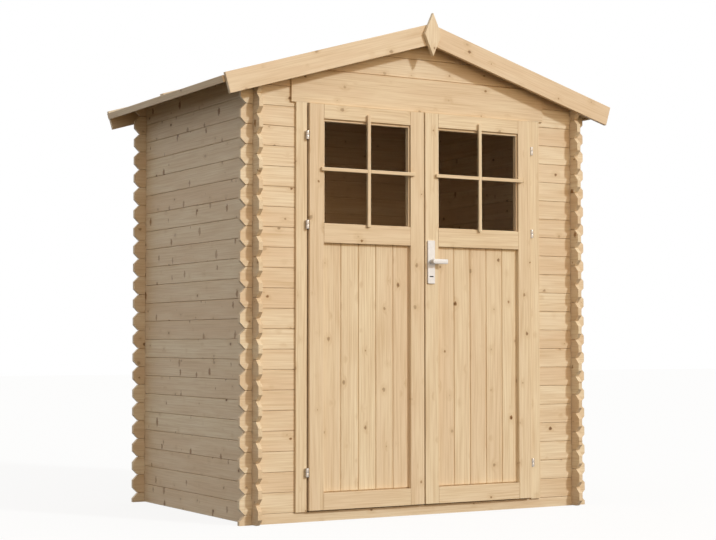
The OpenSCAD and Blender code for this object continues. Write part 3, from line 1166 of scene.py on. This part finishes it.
@dataclass
class Doorway:
    """The grooved jambs that grip the plank ends, and the header board over them.

    Attributes:
        sizes: the shed's main places.
        edge: width of the eased edges.
        groove_play: room on each side of a plank in the jamb's groove.
        header_drop, header_reveal: how far the foot and the top of the header are drawn lower.
    """

    sizes: ShedSizes
    edge: float = 1.6 * MM
    groove_play: float = 0.3 * MM
    header_drop: float = 2.5 * MM
    header_reveal: float = 4 * MM

    def jamb(self, side: Side) -> None:
        """Builds one jamb with its groove.

        Args:
            side: the hand of the shed.
        """
        node = f"{side.label}_jamb"
        low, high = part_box(node)
        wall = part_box(f"front_wall_{side.label}")
        front, back = -self.sizes.rear_y, self.sizes.plank_t - self.sizes.rear_y
        web = wall[0].x if side is Side.RIGHT else wall[1].x
        reach = sorted((web, web + side.value * (high.x - low.x)))
        made = block(low, high)
        carve(made, block((reach[0], front - self.groove_play, low.z - OVER),
                          (reach[1], back + self.groove_play, high.z + OVER)))
        ease(made, self.edge, lambda edge: runs_along(edge, Z) and is_square(edge), steps=2)
        put(GRAIN.tag(made, Z, X), f"{node}_post", DOOR_PINE, Body.SHED, node)

    def build(self) -> None:
        """Builds both jambs and the header, which is drawn a little lower: it closes the gap over the leaves
        and bares the plank joint above it."""
        for side in Side:
            self.jamb(side)
        low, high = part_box("door_header")
        header = ease(block(low - Z * self.header_drop, high - Z * self.header_reveal), self.edge, steps=2)
        put(GRAIN.tag(header, X, Z), "door_header_board", DOOR_PINE, Body.SHED, "door_header")


@dataclass
class Roof:
    """Boards, felt, battens, eave strips, barge boards, finials and the ridge purlin.

    Attributes:
        sizes: the shed's main places.
        boards_per_slope: number of boards on one slope.
        edge, felt_edge, finial_edge, purlin_edge: width of the eased edges.
        spare, purlin_spare: what stands past the ridge, or over the purlin, before it is sawn.
        lap, lap_at_share: width of the felt's lap, and its place down the slope.
        lap_sink: how far the lap starts above its place, so that no gap shows.
        eave_rise: how far the eave strips stand over their nodes, to cover the felt's edge.
        batten_sink: how far the battens press into the felt.
        finial_drop: how far the finials reach below their nodes.
    """

    sizes: ShedSizes
    boards_per_slope: int = 15
    edge: float = 1.5 * MM
    felt_edge: float = 0.4 * MM
    finial_edge: float = 1.2 * MM
    purlin_edge: float = 2 * MM
    spare: float = 30 * MM
    purlin_spare: float = 20 * MM
    lap: float = 75 * MM
    lap_at_share: float = 0.48
    lap_sink: float = 1 * MM
    eave_rise: float = 3 * MM
    batten_sink: float = 1.4 * MM
    finial_drop: float = 8 * MM

    def boarding(self, side: Side) -> None:
        """Builds the boards of one slope, plumb at the ridge and square at the eave.

        Args:
            side: the slope.
        """
        node = f"{side.label}_roof_boards"
        size = self.sizes
        reach, depth, _ = size.slope_ranges(node, side)
        width, length = (depth[1] - depth[0]) / self.boards_per_slope, reach[1] + self.spare
        pattern = MatchedBoard(width, size.roof_t).plain(length)
        pattern.rotation_euler.x = math.pi / 2
        pattern.location = (side.value * (length / 2 - self.spare), 0, size.roof_t / 2)
        size.on_slope(settle(pattern), side)
        boards = [GRAIN.tag(twin(pattern, (0, depth[0] + (row + 0.5) * width, 0)), size.slope_axes(side)[0], Y)
                  for row in range(self.boards_per_slope)]
        discard(pattern)
        put(joined(boards), f"{node}_matched", ROOF_PINE, Body.SHED, node)

    def felt(self, side: Side) -> None:
        """Builds the felt of one slope as two strips, the upper lapped over the lower, up to the eave strip.

        Args:
            side: the slope.
        """
        node = f"{side.label}_roof_felt"
        reach, depth, level = self.sizes.slope_ranges(node, side)
        eave = self.sizes.slope_ranges(f"{side.label}_eave_strip", side)[0][0]
        middle, lap_at = sum(level) / 2, reach[1] * self.lap_at_share
        strips = [self.sizes.sloped(side, part, depth, layer) for part, layer in (
            ((lap_at, eave), (level[0], middle)), ((-self.spare, lap_at), (level[0], middle)),
            ((lap_at - self.lap_sink, lap_at + self.lap), (middle, level[1])))]
        put(joined([ease(strip, self.felt_edge) for strip in strips]), f"{node}_strips", FELT, Body.SHED, node)

    def strip(self, side: Side, node: str, along: Vector, across: Vector, sink: float = 0,
              rise: float = 0) -> None:
        """Builds a plain board that lies on one slope or square to it.

        Args:
            side: the slope.
            node: name of the CAD node.
            along: unit vector along the grain.
            across: unit vector across the board's face.
            sink: how far its lower face sinks into what lies below it.
            rise: how far its upper face stands over the CAD node.
        """
        reach, depth, level = self.sizes.slope_ranges(node, side)
        made = self.sizes.sloped(side, reach, depth, (level[0] - sink, level[1] + rise))
        put(GRAIN.tag(ease(made, self.edge, steps=2), along, across), f"{node}_board", PINE, Body.SHED, node)

    def finial(self, gable: Gable) -> None:
        """Builds the lozenge over the meeting barge boards, with eased edges.

        Args:
            gable: the gable.
        """
        node = f"{gable.value}_finial"
        low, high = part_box(node)
        low.z -= self.finial_drop
        bpy.ops.object.select_all(action="DESELECT")
        bpy.ops.mesh.primitive_cylinder_add(vertices=4, radius=1, depth=1, location=(low + high) / 2,
                                            rotation=(math.pi / 2, 0, 0))
        made = bpy.context.object
        made.scale = ((high.x - low.x) / 2, (high.z - low.z) / 2, high.y - low.y)
        ease(settle(made), self.finial_edge)
        put(GRAIN.tag(made, Z, X), f"{node}_lozenge", PINE, Body.SHED, node)

    def purlin(self) -> None:
        """Builds the ridge purlin with its top planed to both slopes."""
        low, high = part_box("ridge_purlin")
        made = ease(block(low, high + Z * self.purlin_spare), self.purlin_edge, steps=2)
        self.sizes.under_roof(made)
        put(GRAIN.tag(made, Y, Z), "ridge_purlin_beam", PINE, Body.SHED, "ridge_purlin")

    def build(self) -> None:
        """Builds the whole roof."""
        for side in Side:
            down, out = self.sizes.slope_axes(side)
            self.boarding(side)
            self.felt(side)
            self.strip(side, f"{side.label}_eave_strip", Y, out, rise=self.eave_rise)
            self.strip(side, f"{side.label}_roof_batten", down, Y, sink=self.batten_sink)
            for gable in Gable:
                self.strip(side, f"{gable.value}_{side.label}_barge", down, out)
        for gable in Gable:
            self.finial(gable)
        self.purlin()


@dataclass
class Floor:
    """Floor boards on joists.

    Attributes:
        board_count: number of boards.
        joist_edge: width of the joists' eased edges.
        joist_space: least room between two joists.
    """

    board_count: int = 14
    joist_edge: float = 2 * MM
    joist_space: float = 50 * MM

    def build(self) -> None:
        """Builds the boards and the joists."""
        low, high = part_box("floor_boards")
        width = (high.x - low.x) / self.board_count
        pattern = MatchedBoard(width, high.z - low.z).plain(high.y - low.y)
        pattern.rotation_euler = (math.pi / 2, 0, math.pi / 2)
        settle(pattern)
        boards = [GRAIN.tag(twin(pattern, (low.x + (row + 0.5) * width, 0, (low.z + high.z) / 2)), Y, X)
                  for row in range(self.board_count)]
        discard(pattern)
        put(joined(boards), "floor_boards_matched", PINE, Body.SHED, "floor_boards")
        joists = [GRAIN.tag(ease(block(*corners), self.joist_edge), X, Y)
                  for corners in clusters("floor_joists", 1, self.joist_space)]
        put(joined(joists), "floor_joists_sawn", JOIST_WOOD, Body.SHED, "floor_joists")


@dataclass
class DoorLeaf:
    """A framed leaf: stiles, rails, a boarded panel, a pane with beads and glazing bars, and its hinges.

    Attributes:
        side: the hand of the leaf.
        space: least room between two rails or two hinges.
        edge, rail_edge: width of the eased edges of stiles and rails.
        joint: gap between the end of a rail and a stile.
        rail_slope: depth and height of the slope on the lowest rail.
        board_w, first_groove: width of a panel board, and how far the first joint is from the panel's left side.
        board_edge, board_gap: eased edge of a panel board, and half of the gap between two.
        foot_cut: depth and height of the rebate at the panel's foot.
        bead_side, bead_top, bead_foot, bead_t: widths of the beads, and their thickness.
        cross_edge, bead_edge: width of the eased edges of level and of upright beads.
        pane_edge: width of the pane's ground edge.
        bar_w, bar_t, bar_edge: width and thickness of the glazing bars, and of their eased edges.
        bar_lift: how far the level bar lies over the pane's middle.
        bar_past_side, bar_past_foot, bar_past_top: how far the bars reach past the pane.
        bar_sunk: how far the level bar lies behind the upright and reaches into it.
        barrel_edge, plate_t, plate_edge: eased edge of a hinge's barrel, and its plate's thickness and edge.
    """

    side: Side
    space: float = 100 * MM
    edge: float = 1.5 * MM
    rail_edge: float = 1 * MM
    joint: float = 0.8 * MM
    rail_slope: tuple[float, float] = (3 * MM, 10 * MM)
    board_w: float = 89.5 * MM
    first_groove: float = 5.5 * MM
    board_edge: float = 1 * MM
    board_gap: float = 2.5 * MM
    foot_cut: tuple[float, float] = (9 * MM, 5 * MM)
    bead_side: float = 8 * MM
    bead_top: float = 11 * MM
    bead_foot: float = 3 * MM
    bead_t: float = 10 * MM
    cross_edge: float = 1.2 * MM
    bead_edge: float = 2.5 * MM
    pane_edge: float = 0.5 * MM
    bar_w: float = 16 * MM
    bar_t: float = 13 * MM
    bar_edge: float = 2 * MM
    bar_lift: float = 8 * MM
    bar_past_side: float = 17 * MM
    bar_past_foot: float = 9 * MM
    bar_past_top: float = 29 * MM
    bar_sunk: float = 0.2 * MM
    barrel_edge: float = 1 * MM
    plate_t: float = 2 * MM
    plate_edge: float = 0.4 * MM

    @property
    def prefix(self) -> str:
        """Start of the leaf's node names, which is also its body's name."""
        return f"{self.side.label}_door"

    @property
    def body(self) -> Body:
        """The leaf's body."""
        return Body(self.prefix)

    def frame_boards(self) -> None:
        """Builds the stiles and the rails, the lowest with a sloped upper edge."""
        node = f"{self.prefix}_stiles"
        low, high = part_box(node)
        rails = clusters(f"{self.prefix}_rails", 2, self.space)
        inner = [corner.x for corner in rails[0]]
        stiles = [block(low, (inner[0], high.y, high.z)), block((inner[1], low.y, low.z), high)]
        stiles = [GRAIN.tag(ease(stile, self.edge, steps=2), Z, X) for stile in stiles]
        put(joined(stiles), f"{node}_boards", DOOR_PINE, self.body, node)
        node = f"{self.prefix}_rails"
        made = [block(low + X * self.joint, high - X * self.joint) for low, high in rails]
        front, foot_top = rails[0][0].y, rails[0][1].z
        depth, height = self.rail_slope
        trim(made[0], (0, front, foot_top - height), (0, -height, depth))
        made = [GRAIN.tag(ease(rail, self.rail_edge, steps=2), X, Z) for rail in made]
        put(joined(made), f"{node}_boards", DOOR_PINE, self.body, node)

    def panel(self) -> None:
        """Builds the lower panel of upright matched boards, ripped to width at the sides and rebated at the foot."""
        node = f"{self.prefix}_panel"
        low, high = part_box(node)
        board = MatchedBoard(self.board_w, high.y - low.y, self.board_edge, self.board_gap)
        pattern = board.plain(high.z - low.z)
        pattern.rotation_euler.y = math.pi / 2
        settle(pattern)
        foot = (low - high) / 2
        carve(pattern, block((-self.board_w, foot.y - OVER, foot.z - OVER),
                             (self.board_w, foot.y + self.foot_cut[0], foot.z + self.foot_cut[1])))
        middle = (low + high) / 2
        boards = []
        right = low.x + self.first_groove
        while right < high.x + self.board_w:
            upright = twin(pattern, (right - self.board_w / 2, middle.y, middle.z))
            if right - self.board_w < low.x:
                trim(upright, low, -X)
            if right > high.x:
                trim(upright, high, X)
            boards.append(GRAIN.tag(upright, Z, X))
            right += self.board_w
        discard(pattern)
        put(joined(boards), f"{node}_boards", DOOR_PINE, self.body, node)

    def beads(self, low: Vector, high: Vector) -> None:
        """Builds the beads that hold the pane, before and behind it.

        Args:
            low: lowest corner of the pane.
            high: highest corner of the pane.
        """
        foot, top = low.z + self.bead_foot, high.z - self.bead_top
        made = []
        for near, far in ((low.y - self.bead_t, low.y), (high.y, high.y + self.bead_t)):
            for z0, z1 in ((low.z, foot), (top, high.z)):
                made.append(GRAIN.tag(ease(block((low.x, near, z0), (high.x, far, z1)), self.cross_edge), X, Z))
            for x0, x1 in ((low.x, low.x + self.bead_side), (high.x - self.bead_side, high.x)):
                made.append(GRAIN.tag(ease(block((x0, near, foot), (x1, far, top)), self.bead_edge, steps=2), Z, X))
        put(joined(made), f"{self.prefix}_glazing_beads", CLEAR_PINE, self.body)

    def glazing(self) -> None:
        """Builds the pane, its beads, and the bars that lie over the frame before it."""
        node = f"{self.prefix}_pane"
        low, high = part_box(node)
        put(ease(block(low, high), self.pane_edge), f"{node}_glass", GLASS, self.body, node)
        self.beads(low, high)
        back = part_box(f"{self.prefix}_rails")[0].y
        x, z, half = (low.x + high.x) / 2, (low.z + high.z) / 2 + self.bar_lift, self.bar_w / 2
        upright = block((x - half, back - self.bar_t, low.z - self.bar_past_foot),
                        (x + half, back, high.z + self.bar_past_top))
        bars = [GRAIN.tag(ease(upright, self.bar_edge, steps=2), Z, X)]
        for x0, x1 in ((low.x - self.bar_past_side, x - half + self.bar_sunk),
                       (x + half - self.bar_sunk, high.x + self.bar_past_side)):
            cross = block((x0, back - self.bar_t + self.bar_sunk, z - half), (x1, back, z + half))
            bars.append(GRAIN.tag(ease(cross, self.bar_edge, steps=2), X, Z))
        put(joined(bars), f"{self.prefix}_glazing_bars", CLEAR_PINE, self.body)

    def hinges(self) -> None:
        """Builds both halves of the leaf's hinges: a rolled barrel on a plate."""
        axis = joint_at(self.prefix)
        inner = 1 if self.side is Side.LEFT else 0
        leaf_edge, jamb_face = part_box(f"{self.prefix}_stiles")[1 - inner].x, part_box(f"{self.side.label}_jamb")[inner].x
        leaf, jamb = f"{self.prefix}_hinges", f"{self.side.label}_jamb_hinges"
        leaf_low, leaf_high = clusters(leaf, 2, self.space)[0]
        height = leaf_high.z - leaf_low.z
        for node, body, face, out in ((leaf, self.body, leaf_edge, 1), (jamb, Body.SHED, jamb_face, -1)):
            made = []
            for low, high in clusters(node, 2, self.space):
                foot, top = Vector((axis.x, axis.y, low.z)), Vector((axis.x, axis.y, low.z + height))
                barrel = rod(foot, top, axis.y - low.y)
                made.append(smooth(ease(barrel, self.barrel_edge, is_square, steps=2)))
                plate = sorted((face, face + self.side.value * out * self.plate_t))
                made.append(ease(block((plate[0], axis.y, foot.z), (plate[1], high.y, top.z)), self.plate_edge))
            put(joined(made), f"{node}_zinc", ZINC, body, node)

    def build(self) -> None:
        """Builds the whole leaf."""
        self.frame_boards()
        self.panel()
        self.glazing()
        self.hinges()


@dataclass
class DoorHandle:
    """Handle plates on both faces of the right leaf, and the lever that turns in them.

    Attributes:
        plate_space: least room between the two plates.
        corner, edge: radius of the plates' corners, and width of their eased edges.
        plate_smooth_deg: edges of a plate that are flatter than this are shaded smooth.
        key_size, key_drop: width and height of the key slot, and how far it lies under the spindle.
        key_round_share: how round its ends are, up to 1.
        plug_in: how deep the lock's plug lies in the slot.
        arm_t, arm_edge: thickness of the lever's arms, and width of their eased outer edges.
        heel_share: radius of an arm's end at the spindle, as a share of its height.
        neck_r, neck_edge: radius of an arm's neck, and width of its eased edges.
        neck_gap, neck_sink: room between a neck and its plate, and how far it reaches into its arm.
        spindle_share: radius of the spindle, as a share of the neck's.
    """

    plate_space: float = 10 * MM
    corner: float = 4 * MM
    edge: float = 1.2 * MM
    plate_smooth_deg: float = 20
    key_size: tuple[float, float] = (22 * MM, 5 * MM)
    key_drop: float = 68 * MM
    key_round_share: float = 0.98
    plug_in: float = 3 * MM
    arm_t: float = 10 * MM
    arm_edge: float = 3 * MM
    heel_share: float = 0.45
    neck_r: float = 10 * MM
    neck_edge: float = 0.8 * MM
    neck_gap: float = 0.4 * MM
    neck_sink: float = 2 * MM
    spindle_share: float = 0.4

    def key_slot(self, at: Vector, reach: tuple[float, float]) -> bpy.types.Object:
        """Builds the cutter for a key slot with round ends.

        Args:
            at: the spindle's place.
            reach: lowest and highest Y of the cutter.

        Returns:
            The cutter.
        """
        half_w, half_h = self.key_size[0] / 2, self.key_size[1] / 2
        made = block((at.x - half_w, reach[0], at.z - self.key_drop - half_h),
                     (at.x + half_w, reach[1], at.z - self.key_drop + half_h))
        return ease(made, half_h * self.key_round_share, lambda edge: runs_along(edge, Y), steps=4)

    def plates(self, at: Vector, front: Box, back: Box) -> None:
        """Builds both plates with rounded corners, and the lock's plug in each key slot, coloured nearly black as
        painted shade of the deep slot.

        Args:
            at: the spindle's place.
            front: the front plate's place.
            back: the back plate's place.
        """
        made = []
        for (low, high), outer in ((front, front[0].y), (back, back[1].y)):
            plate = ease(block(low, high), self.corner, lambda edge: runs_along(edge, Y), steps=5)
            ease(plate, self.edge, lambda edge: lies_at(edge, 1, outer), steps=2)
            carve(plate, self.key_slot(at, (low.y - self.corner, high.y + self.corner)))
            made.append(smooth(plate, self.plate_smooth_deg))
        put(joined(made), "handle_plates_satin", SATIN, Body.RIGHT_DOOR, "handle_plates")
        # The plugs' near-black colour is painted shade: it darkens the key slot as its depth would.
        plugs = [self.key_slot(at, (low.y + shift, high.y + shift))
                 for (low, high), shift in ((front, self.plug_in), (back, -self.plug_in))]
        put(joined(plugs), "lock_plugs", SLOT_SHADE_STEEL, Body.RIGHT_DOOR)

    def lever(self, at: Vector, front: float, back: float) -> None:
        """Builds the spindle and both flat arms on their necks.

        Args:
            at: the spindle's place.
            front: Y of the front plate's outer face.
            back: Y of the back plate's outer face.
        """
        low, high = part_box("door_lever")
        made = [rod(Vector((at.x, front, at.z)), Vector((at.x, back, at.z)), self.neck_r * self.spindle_share)]
        for out, face, tip in ((-1, front, low.y), (1, back, high.y)):
            heel = tip - out * self.arm_t
            neck = rod(Vector((at.x, face + out * self.neck_gap, at.z)),
                       Vector((at.x, heel + out * self.neck_sink, at.z)), self.neck_r)
            made.append(smooth(ease(neck, self.neck_edge, is_square)))
            arm = block((low.x, min(heel, tip), low.z), (high.x, max(heel, tip), high.z))
            ease(arm, (high.z - low.z) * self.heel_share,
                 lambda edge: runs_along(edge, Y) and edge.verts[0].co.x < at.x, steps=6)
            ease(arm, self.corner, lambda edge: runs_along(edge, Y) and lies_at(edge, 0, high.x), steps=4)
            ease(arm, self.arm_edge, lambda edge: lies_at(edge, 1, tip), steps=3)
            made.append(smooth(arm))
        put(joined(made), "door_lever_satin", SATIN, Body.LEVER, "door_lever")

    def build(self) -> None:
        """Builds the plates and the lever."""
        at = joint_at(Body.LEVER.value)
        front, back = clusters("handle_plates", 1, self.plate_space)
        self.plates(at, front, back)
        self.lever(at, front[0].y, back[1].y)


@dataclass
class Studio:
    """A plain pale floor, a soft key light from the front right, a warm panel, an even fill and the camera.

    Attributes:
        camera_at, camera_tilt_deg, camera_turn_deg: the camera's place, how far up and how far right it looks.
        lens_mm, sensor_mm: focal length, and the width of the picture behind it.
        key_runs, key_strength, key_angle_deg, key_colour: the key light's direction, strength, softness and colour.
        fill_colour, fill_strength: colour and strength of the light from all round.
        panel_at, panel_size, panel_colour, panel_watts: a wide lamp before the doors, which warms what faces it.
        white: colour of the background.
        floor_size, floor_drop: width of the floor, and how far it lies under the shed.
        floor_pale, floor_glow: colour of the floor, and how far it glows instead of taking shadow.
        floor_dark: colour that the floor has for the light that it throws back onto the shed.
    """

    camera_at: tuple[float, float, float] = (-3.9199, -6.7838, 0.7758)
    camera_tilt_deg: float = 2.589
    camera_turn_deg: float = 30.077
    lens_mm: float = 80.9
    sensor_mm: float = 36
    key_runs: tuple[float, float, float] = (-0.43, 0.76, -0.47)
    key_strength: float = 1.73
    key_angle_deg: float = 5
    key_colour: str = "#EEF6F9"
    fill_colour: str = "#FFF8EF"
    fill_strength: float = 0.7
    panel_at: tuple[float, float, float] = (0.6, -7.5, 2.4)
    panel_size: tuple[float, float] = (8, 4)
    panel_colour: str = "#FFCB7C"
    panel_watts: float = 150
    white: str = "#FFFFFF"
    floor_size: float = 60
    floor_drop: float = 0.5 * MM
    floor_pale: str = "#F9F9F8"
    floor_glow: float = 0.86
    floor_dark: str = "#45413B"

    def camera(self) -> None:
        """Sets the camera where the photograph was taken from."""
        lens = bpy.data.cameras.new("camera")
        lens.lens, lens.sensor_width, lens.sensor_fit = self.lens_mm, self.sensor_mm, "HORIZONTAL"
        eye = bpy.data.objects.new("camera", lens)
        eye.location = self.camera_at
        eye.rotation_euler = (math.radians(90 + self.camera_tilt_deg), 0, -math.radians(self.camera_turn_deg))
        bpy.context.scene.collection.objects.link(eye)
        bpy.context.scene.camera = eye

    def light(self) -> None:
        """Adds the lamps and the fill, which is white where it is seen directly or in glass and metal."""
        key = bpy.data.lights.new("key", "SUN")
        key.energy, key.angle = self.key_strength, math.radians(self.key_angle_deg)
        self.hang(key, self.key_colour, Vector(self.key_runs), (0, 0, 0))
        panel = bpy.data.lights.new("panel", "AREA")
        panel.energy, panel.shape = self.panel_watts, "RECTANGLE"
        panel.size, panel.size_y = self.panel_size
        self.hang(panel, self.panel_colour, Z - Vector(self.panel_at), self.panel_at)
        world = bpy.data.worlds.new("studio")
        bpy.context.scene.world = world
        tree = fresh_tree(world)
        fill = add_node(tree, "Background", {"Color": linear(self.fill_colour), "Strength": self.fill_strength})
        white = add_node(tree, "Background", {"Color": linear(self.white), "Strength": 1.0})
        both = add_node(tree, "MixShader", {0: self.seen(tree), 1: fill, 2: white})
        add_node(tree, "OutputWorld", {"Surface": both})

    def hang(self, light: bpy.types.Light, colour: str, runs: Vector, at: Sequence[float]) -> None:
        """Adds a lamp to the scene.

        Args:
            light: the lamp.
            colour: its colour.
            runs: the direction in which its light runs.
            at: its place.
        """
        light.color = linear(colour)[:3]
        lamp = bpy.data.objects.new(light.name, light)
        lamp.location, lamp.rotation_euler = at, runs.to_track_quat("-Z", "Y").to_euler()
        bpy.context.scene.collection.objects.link(lamp)

    def seen(self, tree: bpy.types.NodeTree) -> bpy.types.NodeSocket:
        """Adds the nodes that tell what is seen, directly or in glass and metal, from light that only
        brightens other things.

        Args:
            tree: the node tree.

        Returns:
            The output that gives 1 for what is seen and 0 for the rest.
        """
        path = add_node(tree, "LightPath").outputs
        share, *others = (path[f"Is {kind} Ray"] for kind in ("Camera", "Glossy", "Transmission"))
        for other in others:
            share = add_node(tree, "Math", {0: share, 1: other}, operation="MAXIMUM").outputs[0]
        return share

    def floor(self) -> None:
        """Adds the floor, which looks nearly white, keeps the shadow and sends little light up again."""
        bpy.ops.object.select_all(action="DESELECT")
        bpy.ops.mesh.primitive_plane_add(size=self.floor_size, location=-Z * self.floor_drop)
        plane = bpy.context.object
        plane.name = "studio_floor"
        settle(plane)
        # Matt white paint: nearly white, without gloss, and softly shaded round the shed
        paint = bpy.data.materials.new("matt_white_floor")
        tree = fresh_tree(paint)
        pale = add_node(tree, "BsdfDiffuse", {"Color": linear(self.floor_pale)})
        glow = add_node(tree, "Emission", {"Color": linear(self.white), "Strength": 1.0})
        bright = add_node(tree, "MixShader", {0: self.floor_glow, 1: pale, 2: glow})
        dark = add_node(tree, "BsdfDiffuse", {"Color": linear(self.floor_dark)})
        both = add_node(tree, "MixShader", {0: self.seen(tree), 1: dark, 2: bright})
        add_node(tree, "OutputMaterial", {"Surface": both})
        plane.data.materials.append(paint)

    def build(self) -> None:
        """Sets up the whole studio."""
        self.camera()
        self.light()
        self.floor()
        bpy.context.scene.view_settings.view_transform = "Standard"


def main() -> None:
    """Builds the shed piece by piece."""
    logging.basicConfig(level=logging.INFO, format="%(name)s: %(message)s")
    sizes = ShedSizes.from_frame()
    Studio().build()
    PlankWalls(sizes).build()
    Doorway(sizes).build()
    Roof(sizes).build()
    Floor().build()
    for side in Side:
        DoorLeaf(side).build()
    DoorHandle().build()


if __name__ == "__main__":
    main()
